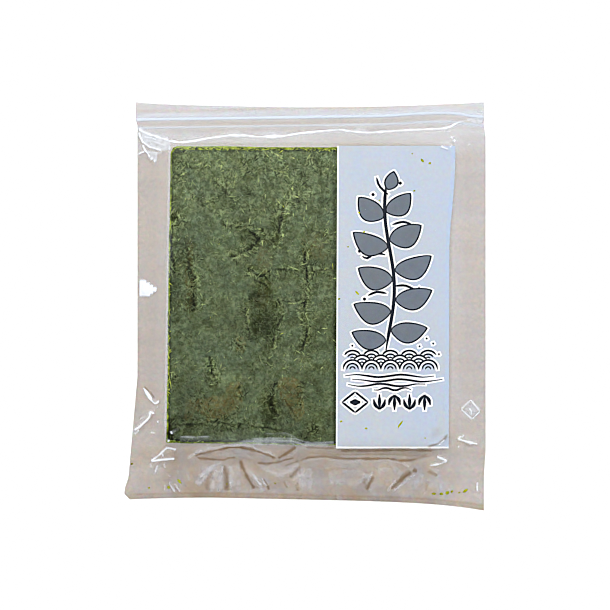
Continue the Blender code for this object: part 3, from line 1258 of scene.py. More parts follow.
# Patches of painted reflection: white glints, a pale sheen along the stack's bottom edge and in the slack
# film under it.
FACETS = (
    Facet(line(
        -113.5, -56.5, -112, -61, -109, -65.5, -106.5, -67, -107, -64, -110, -59.5
    ), 0.8, 0.95),
    Facet(line(
        -110, 111, -101.5, 108, -93, 109.5, -94.5, 115.5, -114, 123, -115, 116.5
    ), 0.3, 0.40),
    Facet(line(
        -53, -96.8, -5, -97.4, -10, -93.3, -21, -91.9, -30, -91.7, -43.5, -93.3
    ), 0.1, 0.34, 0.8),
    Facet(line(-2, -97.4, 20.5, -97.2, 20.5, -94, 6, -94.6), 0.1, 0.28, 0.8),
    Facet(line(112, 130.5, 118.5, 128, 124.5, 128.5, 124.5, 131.5, 117, 132), 0.3, 0.35),
    Facet(line(-116.0, 7.4, -108.8, 7.4, -102.6, 11.8, -113.6, 19.2, -115.8, 18.0), 1.0, 0.95),
    Facet(line(-112.8, 109.2, -104.0, 99.8, -102.8, 107.8), 0.6, 0.50),
    Facet(line(-111.5, 121.6, -99.0, 114.6, -104.0, 119.4), 0.4, 0.25),
    Facet(line(110.2, -72.8, 116.8, -79.0, 122.2, -73.6, 115.8, -65.4), 0.5, 0.34),
    Facet(line(
        -58.5, -108.5, -64.5, -112, -71.5, -116.5, -77.5, -123, -74, -126.5, -69.5, -121, -64.5, -115.5
    ), 0.1, 0.28, 0.5),
    Facet(line(-67.5, -130, -63.5, -130, -63, -117.5, -65, -117.5), 0.1, 0.28, 0.5),
    Facet(line(-61, -117.5, -62, -130, -57.5, -130, -57, -111, -59, -111), 0.1, 0.32, 0.5),
    Facet(line(
        -53.5, -120, -54, -130, -51.5, -130, -50.5, -120, -53, -110.5, -54.5, -110.5
    ), 0.1, 0.28, 0.5),
    Facet(line(
        -49, -119.5, -50.5, -129.5, -45, -129.5, -44.5, -117.5, -45.5, -109.5, -49.5, -109.5
    ), 0.1, 0.17, 0.6),
    Facet(line(-31.5, -129.5, -27.5, -129.5, -30, -123.5, -37, -114.5, -40, -115.5), 0.1, 0.26, 0.5),
    Facet(line(
        -28.5, -117.5, -22.5, -122.5, -14, -122.5, -6.5, -114.5, -9, -112.5, -15.5, -118, -21.5, -119.5,
        -30, -113
    ), 0.1, 0.26, 0.5),
    Facet(line(-1.5, -129.5, 5.5, -128.5, 5, -113, -3.5, -114.5), 0.1, 0.18, 0.6),
    Facet(line(13.5, -114, 33, -113, 31.5, -108.5, 12, -109), 0.1, 0.17, 0.6),
    Facet(line(17.5, -124.5, 35.5, -126, 47, -119, 38.5, -114, 16, -114.5), 0.1, 0.17, 0.6),
    Facet(line(52.5, -121.5, 63.5, -123, 69.5, -116, 63.5, -112, 49.5, -113), 0.1, 0.18, 0.6),
    Facet(line(72, -128.5, 81, -130, 83.5, -117.5, 73.5, -114.5), 0.1, 0.17, 0.6),
    Facet(line(
        -63.5, -105, -48.5, -106, -30, -107, -18, -106.5, -30, -102, -47, -99.5, -65, -101.5
    ), 0.1, 0.14, 0.6),
)


@dataclass(frozen=True)
class Band:
    """A streak along the bag's mouth, in millimetres from the middle of the zip, + towards the lips."""

    middle: float
    width: float
    white: float = 0.0
    shade: float = 0.0
    warmth: float = 0.0
    waver: float = 0.0


# In these streaks, white is a painted highlight along the zip's ribs and the film beside them.
MOUTH_BANDS = (
    Band(0.1, 1.0, white=0.30, warmth=-0.3),
    Band(1.7, 0.9, warmth=-0.6, waver=0.2),
    Band(3.4, 1.6, white=0.10, warmth=-0.3, waver=0.5),
    Band(-3.3, 1.5, shade=0.13, warmth=0.5, waver=0.3),
    Band(-5.8, 1.0, white=0.18, warmth=-0.4, waver=0.3),
    Band(-8.6, 0.9, shade=0.06, waver=0.8),
    Band(-10.6, 0.6, white=0.10, warmth=-0.2, waver=1.0),
    Band(6.1, 0.9, shade=0.09, warmth=0.5, waver=0.8),
    Band(7.8, 0.8, white=0.07, waver=0.6),
    Band(9.4, 1.0, shade=0.06, waver=0.6),
)


def read_bands(bands: tuple[Band, ...], gap: Array, x: Array) -> tuple[Array, Array, Array]:
    """Reads the streaks along the mouth.

    Args:
        bands: The streaks.
        gap: Distance from the middle of the zip, + towards the lips, in millimetres.
        x: Places along the zip, in millimetres.

    Returns:
        Their whiteness, how much they darken, and how much they warm.
    """
    white, shade, warmth = np.zeros_like(gap), np.zeros_like(gap), np.zeros_like(gap)
    for number, band in enumerate(bands):
        wandering = band.waver * Grain(80 + number).layered(x, 0 * x, 45.0)
        cover = bell(gap - band.middle - wandering, band.width)
        strength = 1.0 + 0.35 * Grain(90 + number).layered(x, 0 * x, 60.0) * (band.waver > 0)
        white = np.maximum(white, band.white * cover * strength)
        shade = np.maximum(shade, band.shade * cover * strength)
        warmth += band.warmth * cover * strength
    return white, shade, warmth


FILM_WARMTH = (
    Swell(24, 22.0, 0.25),
    Zone(-0.2, y=(126.0, 129.0)),
    Zone(-0.2, y=(112.0, 118.0)),
    Zone(-0.2, x=(60.0, 100.0)),
    Zone(0.2, x=(92.0, 104.0), y=(-60.0, -100.0)),
)

# How dense the back film is: lighter to the right, along the zip, beside the stack's lower corners, and
# towards the top, a painted gradient of the light.
BACK_COVER = (
    Zone(0.94),
    Zone(-0.18, x=(40.0, 110.0)),
    Zone(-0.08, y=(-140.0, 142.0)),
    Zone(-0.02, y=(100.0, 118.0)),
    Zone(-0.10, y=(116.0, 121.0)),
    Zone(-0.06, y=(124.0, 126.0)),
    Zone(-0.11, y=(131.0, 134.0)),
    Zone(-0.12, x=(-96.0, -108.0), y=(-70.0, -100.0)),
    Zone(-0.10, x=(92.0, 104.0), y=(-92.0, -100.0)),
)

# Painted shadow just under the card's bottom edge.
CARD_SHADOW = Zone(0.06, x=(-4.0, 2.0, 92.0, 84.0), y=(-99.0, -100.5, -106.0, -104.5))


@dataclass(frozen=True)
class FilmPlaces:
    """Where the film's points lie.

    away is the distance from the stack, inward the one from the bag's edge, and zip_gap the height
    above the middle of the zip. The rest are shares from 0 to 1: upwards is 1 at the lips, mouth is
    1 above the stack, below is 1 in the slack film under it, and beside is 1 anywhere off it.
    """

    x: Array
    y: Array
    away: Array
    inward: Array
    zip_gap: Array
    upwards: Array
    mouth: Array
    below: Array
    beside: Array


@dataclass
class BagFilm:
    """The bag's film: one closed envelope, creased in front and flat behind."""

    outline: Outline = field(default_factory=Outline)
    finish: ClearFilm = field(default_factory=ClearFilm)
    columns: Array = field(default_factory=lambda: stations((33, 56), (197, 218), (22, 38)))
    rows: Array = field(default_factory=lambda: stations((85, 140), (154, 97), (37, 72)))
    stack_left: float = -96.2
    stack_right: float = 102.6
    stack_bottom: float = -97.6
    stack_top: float = 112.4
    stack_middle: float = 7.0
    stack_lean: float = 0.45
    plateau: float = 6.75
    margin: float = 1.7
    rim_top: float = 0.95
    rim_base: float = 0.55
    back_level: float = 0.06
    shoulder: float = 24.0
    shoulder_bow: float = 1.9
    header_level: float = 1.15
    zip_level: float = 2.1
    seam_rise: float = 3.2
    crease_count: int = 64
    calm_zone: Pair = (-84.0, 104.0)
    calm_ratio: float = 0.30
    back_ratio: float = 0.06

    def stack_distance(self, x: Array, y: Array) -> Array:
        """Measures how far places lie outside the stack, with rounded corners.

        Args:
            x: Places.
            y: Places.

        Returns:
            The distance, with 0 over the stack.
        """
        upright = x - (y - self.stack_middle) * math.tan(math.radians(self.stack_lean))
        across = np.maximum(np.maximum(self.stack_left - upright, upright - self.stack_right), 0.0)
        along = np.maximum(np.maximum(self.stack_bottom - y, y - self.stack_top), 0.0)
        return np.hypot(across, along)

    def places(self, slab: Slab) -> FilmPlaces:
        """Finds out where the points of the slab lie.

        Args:
            slab: The film, still a flat grid.

        Returns:
            Their places.
        """
        u = np.interp(slab.u, np.linspace(0, 1, len(self.columns)), self.columns)
        v = np.interp(slab.v, np.linspace(0, 1, len(self.rows)), self.rows)
        low, top = self.outline.low(u), self.outline.top(u)
        y = low + (top - low) * v
        left, right = self.outline.left(y), self.outline.right(y)
        x = left + (right - left) * u
        inward = np.minimum(np.minimum(x - left, right - x), np.minimum(y - low, top - y))
        away = self.stack_distance(x, y)
        below = ramp(-96.0, -104.0, y) * (0.4 + 0.6 * ramp(-105.0, -90.0, x))
        below *= 0.35 + 0.65 * ramp(112.0, 88.0, x)
        return FilmPlaces(
            x, y, away, np.maximum(inward, 0.0), y - self.outline.zip_line(u),
            upwards=ramp(-140.0, 142.0, y),
            mouth=ramp(100.0, 118.0, y),
            below=below,
            beside=ramp(0.0, 3.0, away),
        )

    def front(self, at: FilmPlaces) -> Array:
        """Height of the front film without its folds.

        Args:
            at: The film's places.

        Returns:
            The height there.
        """
        level = self.rim_top + (self.margin - self.rim_top) * ramp(0.0, 9.0, at.inward)
        fallen = 1.0 - np.clip(1.0 - at.away / self.shoulder, 0.0, 1.0) ** self.shoulder_bow
        height = self.plateau + (level - self.plateau) * fallen
        slack = 0.12 + 0.88 * ramp(-92.0, -108.0, at.y)
        slack *= ramp(0.0, 6.0, at.away) * ramp(0.0, 4.0, at.inward)
        height += Swell(11, 21.0, 0.20).read(at.x, at.y) * slack
        height += Swell(12, 38.0, 0.10).read(at.x, at.y) * (1 - ramp(0.0, 4.0, at.away))
        height += 0.10 * (Grain(13).creased(at.x, at.y, 9.0) - 0.5) * slack
        header = ramp(2.6, 4.6, at.zip_gap)
        header_height = self.header_level + 0.20 * Grain(14).at(at.x, at.y, 30.0)
        height = height * (1 - header) + header_height * header
        return np.maximum(height, self.zip_level * ramp(4.2, 0.6, np.abs(at.zip_gap)))

    def seam(self, at: FilmPlaces) -> Array:
        """1 on the weld along the bottom."""
        seam_y = self.outline.low(self.outline.share(at.x)) + self.seam_rise
        return bell(at.y - seam_y, 0.8) * ramp(0.0, 8.0, at.x - self.outline.left(at.y))

    def warmth(self, at: FilmPlaces, band_warmth: Array, lines: Array) -> Array:
        """How warm the film looks.

        Args:
            at: The film's places.
            band_warmth: What the streaks along the mouth add.
            lines: Fine random lines along the mouth.

        Returns:
            Values from 0 for cool to 1 for warm.
        """
        warmth = band_warmth + read_all(FILM_WARMTH, at.x, at.y)
        warmth += at.mouth * 0.35 * lines + 0.4 * self.seam(at)
        warmth += (1.0 - at.mouth) * (0.4 + 0.8 * at.below) * Grain(23).layered(at.x, at.y, 6.5)
        warmth += at.below * (Swell(25, 3.0, 0.5).read(at.x, at.y) + 0.3 * ramp(-103.0, -99.0, at.y))
        return np.clip(0.5 + 0.5 * warmth, 0.0, 1.0)

    def shade(self, at: FilmPlaces, band_shade: Array, lines: Array) -> Array:
        """How much brown there is without the folds: doubled film, and painted shadow under the card and the
        stack.

        Args:
            at: The film's places.
            band_shade: What the streaks along the mouth add.
            lines: Fine random lines along the mouth.

        Returns:
            Values from 0 to 1.
        """
        weld = bell(at.inward - 0.5, 0.7)
        streaks = np.clip(0.03 + Swell(16, 5.0, 0.06, stretch=12.0).read(at.x, at.y), 0.0, 1.0)
        streaks += 0.07 * np.clip(lines, 0.0, 1.0) * at.mouth
        shade = np.maximum.reduce([band_shade, 0.03 * weld, 0.12 * self.seam(at)]) + streaks * at.beside
        shade += CARD_SHADOW.read(at.x, at.y)
        # Painted shadow of the stack on the slack film, strongest close under it and on the left.
        painted_shadow_below = ramp(-118.0, -103.0, at.y) * (0.04 + 0.13 * ramp(10.0, -10.0, at.x))
        shade += at.below * (0.13 + painted_shadow_below + Swell(21, 9.0, 0.16).read(at.x, at.y))
        above_edge = at.y - self.outline.low(self.outline.share(at.x))
        return np.clip(shade + 0.14 * ramp(6.0, 1.0, above_edge), 0.0, 1.0)

    def haze(self, at: FilmPlaces) -> Array:
        """How milky the film looks, with a painted sheen: more towards the lips and in the mouth, and along
        the stack's left and top edges.

        Args:
            at: The film's places.

        Returns:
            Values from 0 to 1.
        """
        lifted = 0.5 + Swell(18, 22.0, 0.5).read(at.x, at.y)
        pressed = np.maximum(patches(BROWN_PATCHES, at.x, at.y), patches(DARK_PATCHES, at.x, at.y))
        # Painted sheen over the nori, stronger towards the top and weaker where the film presses down.
        over_nori = (1.0 - at.beside) * (0.008 * lifted + 0.010 * at.upwards)
        # Milky film off the stack, with a painted sheen that grows towards the lips and in the mouth.
        haze = (0.012 + 0.02 * at.upwards + 0.13 * at.mouth) * at.beside
        haze += over_nori * (1.0 - np.clip(pressed, 0.0, 1.0))
        # A painted sheen along the stack's left and top edges.
        left_gap = -95.4 + 0.0143 * at.y - at.x
        left_edge = bell(left_gap - 0.9, 0.8) * (left_gap > 0.0)
        haze += 0.26 * left_edge * ramp(112.0, 110.0, at.y) * ramp(-95.0, -85.0, at.y)
        top_edge = bell(at.y - 111.8, 0.7)
        haze += 0.12 * top_edge * ramp(-97.0, -94.0, at.x) * ramp(22.0, 16.0, at.x)
        haze += Swell(15, 9.0, 0.02, stretch=3.0).read(at.x, at.y) * at.beside * (0.3 + at.mouth)
        return np.clip(haze, 0.0, 1.0)

    def tints(self, slab: Slab, at: FilmPlaces) -> dict[str, Array]:
        """The marks of the film without its folds.

        Args:
            slab: The film, still a flat grid.
            at: Where its points lie.

        Returns:
            The film's marks, by name.
        """
        band_white, band_shade, band_warmth = read_bands(MOUTH_BANDS, at.zip_gap, at.x)
        lines = Swell(22, 3.0, stretch=14.0).read(at.x, at.y)
        # Painted light: the back film is lighter close round the stack's sides and top, where shade falls.
        close = bell(at.away, 5.0) * ramp(-92.0, -80.0, at.y)
        behind = read_all(BACK_COVER, at.x, at.y) - 0.25 * close
        return {
            "creased": np.where(slab.upper, band_white, 0.0),
            "folded": np.where(slab.upper, self.shade(at, band_shade, lines), 0.0),
            "doubled": np.where(slab.upper, 0.0, behind),
            "haze_and_sheen": np.where(slab.upper, self.haze(at), 0.0),
            "warmed": np.where(slab.upper, self.warmth(at, band_warmth, lines), 0.5),
        }

    def small_creases(self) -> list[Crease]:
        """Small seeded creases in the slack film under the stack."""
        draw = np.random.default_rng(7)
        creases = []
        for _ in range(self.crease_count):
            x, y = draw.uniform(-105, 112), draw.uniform(-130, -106)
            angle, length = draw.normal(-1.35, 0.5), draw.uniform(4, 13)
            end = (x + length * math.cos(angle), y + length * math.sin(angle))
            white, shade = draw.uniform(0, 0.16), draw.uniform(0.08, 0.32)
            creases.append(Crease(((x, y), end), draw.uniform(0.5, 1.1), white, shade, ends=0.4, rise=0.15))
        return creases

    def shape(self, slab: Slab) -> None:
        """Places the film's points and stores its marks.

        Args:
            slab: The film, still a flat grid.
        """
        at = self.places(slab)
        front = self.front(at)
        marks = self.tints(slab, at)
        groups = (
            MOUTH_FOLDS, LEFT_FOLDS, LOWER_LEFT_FOLDS, TENTS, PLEATS, RIGHT_FOLDS, STACK_GLEAMS,
            self.small_creases(),
        )
        for crease in (crease for group in groups for crease in group):
            near = crease.nearby(at.x, at.y) & slab.upper
            rise, white, shade = crease.read(at.x[near], at.y[near])
            front[near] += rise
            marks["creased"][near] = np.maximum(marks["creased"][near], white)
            marks["folded"][near] = np.maximum(marks["folded"][near], shade)
        for facet in FACETS:
            rise, white = facet.read(at.x, at.y)
            front += rise
            marks["creased"] = np.maximum(marks["creased"], white * slab.upper)
            # The facets' painted reflections are cool.
            marks["warmed"] = np.clip(marks["warmed"] - 1.2 * white * slab.upper, 0.0, 1.0)

        lift = 1.0 - ramp(0.0, 12.0, at.inward)
        back = self.back_level + (self.rim_base - self.back_level) * lift
        front = np.where(at.inward <= 0.0, self.rim_top, np.maximum(front, self.rim_top - 0.1))
        slab.place(at.x, at.y, np.where(slab.upper, front, back))
        for name, values in marks.items():
            slab.mark(name, values)

    def build(self) -> bpy.types.Object:
        """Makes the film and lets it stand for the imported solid."""
        slab = Slab("bag_film", len(self.columns) - 1, len(self.rows) - 1)
        self.shape(slab)
        slab.thin_out(~slab.upper, self.back_ratio)
        x, y, z = (slab.points() / MM).T
        calm = (self.stack_distance(x, y) <= 0.0) & (z > 3.0)
        slab.thin_out(calm & (y > self.calm_zone[0]) & (y < self.calm_zone[1]), self.calm_ratio)
        slab.smooth(70.0)
        film = dress(slab.piece, self.finish.material())
        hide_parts(BAG_NODE)
        return film


@dataclass
class PressZip:
    """The moulded ribs inside the bag's mouth."""

    outline: Outline = field(default_factory=Outline)
    finish: MilkyRib = field(default_factory=lambda: MilkyRib("zip_track", cover=0.44))
    guide_finish: MilkyRib = field(default_factory=lambda: MilkyRib("zip_guide", cover=0.22))

    def rib(self, name: str, offset: float, width: float, low: float, high: float) -> bpy.types.Object:
        """One rib across the bag.

        Args:
            name: The rib's name.
            offset: How far above the zip's middle it lies, in millimetres.
            width: Its width.
            low: Height of its underside.
            high: Height of its crown.

        Returns:
            The rib, without a finish.
        """
        slab = Slab(name, 150, 8)
        u = 0.004 + 0.992 * slab.u
        y = self.outline.zip_line(u) + offset + width * (slab.v - 0.5)
        x = self.outline.left(y) + (self.outline.right(y) - self.outline.left(y)) * u
        crown = np.sin(np.pi * (0.10 + 0.80 * slab.v)) ** 0.5
        crushed = 1.0 - 0.55 * (1.0 - ramp(0.0, 0.02, slab.u) * ramp(1.0, 0.98, slab.u))
        height = low + (high - low) * crown * crushed
        slab.place(x, y, np.where(slab.upper, height, low))
        slab.smooth(50.0)
        return slab.piece

    def build(self) -> list[bpy.types.Object]:
        """Makes the locking rib and the thin guide below it."""
        lock = self.rib("zip_locking_rib", 0.2, 1.9, 0.70, 1.95)
        guide = self.rib("zip_lower_guide", -5.8, 1.0, 0.62, 1.25)
        return [
            dress(lock, self.finish.material()),
            dress(guide, self.guide_finish.material()),
        ]


# ---------------------------------------------------------------- the sheets


@dataclass(frozen=True)
class Wrinkle:
    """A crumple line in the top sheet, in millimetres: a groove with a raised lip, with painted shade and
    light.

    Attributes:
        path: Its course.
        width: Half its width.
        dark: How dark its painted shade is, from 0 to 1.
        depth: Depth of its groove.
    """

    path: Path
    width: float = 1.1
    dark: float = 0.6
    depth: float = 0.24

    def read(self, x: Array, y: Array, broken: Array) -> tuple[Array, Array, Array, Array]:
        """Reads the line.

        Args:
            x: Places.
            y: Places.
            broken: How strong lines are there, from 0 to 1.

        Returns:
            How far each place is in the groove and on the lip, its painted shade, and how torn it is around.
        """
        distance, share = along_path(self.path, x, y)
        fade = ramp(0.0, 0.12, share) * ramp(1.0, 0.88, share)
        groove = bell(distance, (0.45 + 0.35 * broken) * self.width) * broken * fade
        lip = bell(distance - 1.4 * self.width, 0.7 * self.width) * broken * fade
        # Painted shade around the line.
        halo = 0.50 * bell(distance, 2.2 * self.width + 1.2)
        stain = self.dark * np.maximum(halo, bell(distance, 0.9 * self.width + 0.3)) * fade
        around = self.dark * bell(distance, 2.2 * self.width + 2.4) * fade
        return groove, lip, stain, around


WRINKLES = (
    Wrinkle(line(-67, 90.5, -58, 83, -49.5, 73), 1.3, 0.5),
    Wrinkle(line(-83.5, 98, -75, 95.5, -65, 97), 1.0, 0.4),
    Wrinkle(line(
        -2, 75, -10, 72.5, -14.5, 69.5, -16, 64.5, -17, 59, -18, 52, -19.5, 47, -27.5, 38.5
    ), 1.6, 0.95),
    Wrinkle(line(-2, 75, -5.5, 70, -10.5, 68), 1.1, 0.7),
    Wrinkle(line(-60, 58.5, -51, 55.5, -42, 56, -34.5, 57), 1.1, 0.75),
    Wrinkle(line(-45, 56, -37, 50.5, -32, 46.5, -38.5, 40, -45, 37.5, -50.5, 35, -54.5, 32.5), 1.5, 0.85),
    Wrinkle(line(-32, 46.5, -29.5, 51.5, -30, 55), 1.2, 0.7),
    Wrinkle(line(-41.5, 27, -35.5, 24, -30, 21, -24, 25.5), 1.1, 0.9),
    Wrinkle(line(-37, 20.5, -30, 16.5, -24.5, 10), 1.0, 0.6),
    Wrinkle(line(-24, 25.5, -14, 25.5, -3.5, 25.5, 9, 25.5, 18, 24.5), 0.7, 0.7),
    Wrinkle(line(-91, 64.5, -93, 55, -94, 43, -91.5, 31, -91, 18.5), 1.3, 0.75),
    Wrinkle(line(-91, 63, -87.5, 58.5, -90.5, 57), 1.4, 0.9),
    Wrinkle(line(-83.5, 46.5, -81, 35, -80, 24, -77.5, 11.5, -78.5, 0, -80, -8), 2.4, 0.75),
    Wrinkle(line(
        -0.5, 49, 0.5, 38, -0.5, 31, 1.5, 21, 0.5, 10, -0.5, 0, -0.5, -8, 1.5, -18, -1.5, -28, -3, -36
    ), 1.1, 0.95),
    Wrinkle(line(-1.5, 49, 3.5, 52.5, 10, 52, 15.5, 46.5), 1.0, 0.45),
    Wrinkle(line(-67, -34, -66, -42, -63.5, -49, -61, -56), 1.5, 0.95),
    Wrinkle(line(-19, -50, -21.5, -58.5, -24.5, -64, -23, -72.5, -17.5, -78), 2.2, 0.75),
    Wrinkle(line(-51, -23.5, -45.5, -28, -41.5, -32.5), 1.2, 0.6),
    Wrinkle(line(-20.5, 9.5, -17, 0, -17, -8, -20.5, -16.5, -22, -25, -21.5, -32), 1.0, 0.7),
    Wrinkle(line(-39, 9.5, -41.5, 1, -41.5, -8, -39, -18, -35.5, -27), 1.0, 0.5),
    Wrinkle(line(
        -74, -54.5, -75.5, -62, -74, -70.5, -69.5, -77, -58, -79, -48.5, -75.5, -45, -67
    ), 0.7, 0.4),
    Wrinkle(line(-45, -67, -45, -60, -45.5, -54.5), 0.9, 0.7),
    Wrinkle(line(-20.5, -50, -17, -60, -12, -68.5, -6.5, -77, -3.5, -80.5), 0.8, 0.3),
    Wrinkle(line(-3.5, -51.5, -3, -62, -3.5, -74), 0.8, 0.55),
    Wrinkle(line(-93, -83, -80.5, -82.5, -63, -80.5, -42, -82.5, -30, -85, -10.5, -86.5), 1.0, 0.5),
    Wrinkle(line(9, -84, 5, -86.5, 2, -88.5), 1.0, 0.8),
    Wrinkle(line(-94.5, -54.5, -91.5, -50, -89, -47.5), 1.0, 0.6),
    Wrinkle(line(-3.5, 4.5, -9, 2.5, -15.5, 3), 0.8, 0.5),
    Wrinkle(line(-90.5, -16.5, -84.5, -22, -77.5, -21), 0.9, 0.4),
)


@dataclass(frozen=True)
class Patch:
    """A soft-edged patch in the top sheet: its middle, its half-widths and its strength."""

    x: float
    y: float
    wide: float
    tall: float
    strength: float


BROWN_PATCHES = (
    Patch(-63.0, -70.0, 15.0, 9.0, 0.95),
    Patch(-49.5, -60.5, 6.0, 9.5, 0.80),
    Patch(-80.5, -72.5, 4.5, 7.0, 0.60),
    Patch(-11.0, -59.5, 8.0, 9.5, 0.90),
    Patch(-6.5, -71.0, 5.0, 10.0, 0.90),
    Patch(7.0, 41.5, 8.5, 11.0, 0.45),
    Patch(-45.0, -27.0, 3.5, 5.5, 0.60),
    Patch(-80.5, 22.0, 3.0, 25.0, 0.50),
    Patch(-27.5, 34.0, 5.5, 10.0, 0.45),
    Patch(-30.0, 4.5, 5.0, 8.0, 0.35),
)

DARK_PATCHES = (
    Patch(-29.0, -4.0, 9.5, 24.0, 0.85),
    Patch(-90.0, 20.0, 4.0, 36.0, 0.35),
    Patch(-37.0, 48.0, 11.0, 9.0, 0.45),
    Patch(-80.5, 20.0, 4.0, 28.0, 0.35),
    Patch(-56.0, 72.0, 9.0, 6.0, 0.30),
    Patch(-25.0, -72.0, 6.5, 11.0, 0.70),
    Patch(-88.0, -86.0, 6.0, 10.0, 0.35),
    Patch(-93.6, -89.0, 2.4, 9.0, 1.00),
    Patch(-92.5, 60.0, 3.0, 5.0, 0.80),
    Patch(-22.0, 50.0, 5.0, 12.0, 0.40),
    Patch(-60.0, -84.5, 24.0, 2.5, 0.40),
)


def patches(spots: tuple[Patch, ...], x: Array, y: Array) -> Array:
    """Reads patches with ragged edges.

    Args:
        spots: The patches.
        x: Places, in millimetres.
        y: Places, in millimetres.

    Returns:
        The strongest patch at each place.
    """
    cover = np.zeros_like(x)
    ragged = 0.40 * Grain(31).layered(x, y, 8.0) + 0.18 * Grain(32).layered(x, y, 2.5)
    for spot in spots:
        reach = np.hypot((x - spot.x) / spot.wide, (y - spot.y) / spot.tall) + ragged
        cover = np.maximum(cover, spot.strength * ramp(1.15, 0.80, reach))
    return cover


@dataclass(frozen=True)
class Relief:
    """What the top sheet is like at some places. The height is in millimetres."""

    height: Array
    tone: Array
    crumpled: Array
    stain_and_shade: Array


@dataclass(frozen=True)
class Fissure:
    """A net of fine cracks in the top sheet: its seed, its pitch in millimetres and its strength."""

    seed: int
    pitch: float
    strength: float


SHEET_HEIGHT = (Swell(41, 46.0, 0.16), Swell(42, 9.0, 0.14))
# The top sheet's tone: random swells that also stand in for painted shading of its soft relief, and lighter
# towards the top, which is painted light.
SHEET_TONE = (
    Swell(45, 26.0, 0.34),
    Swell(46, 6.0, 0.36),
    Zone(0.32, y=(40.0, 105.0)),
    Zone(0.10, y=(-100.0, 40.0)),
    Zone(-0.19),
)
FISSURES = (Fissure(50, 12.0, 0.50), Fissure(52, 7.0, 0.40), Fissure(53, 4.2, 0.30))


@dataclass(frozen=True)
class Flight:
    """Where the loose strands lie and what they are like, one value for each strand.

    half and broad are half its length and width, and relief is the top sheet under it.
    """

    x: Array
    y: Array
    rimmed: Array
    chip: Array
    half: Array
    broad: Array
    angle: Array
    tilt: Array
    relief: Relief


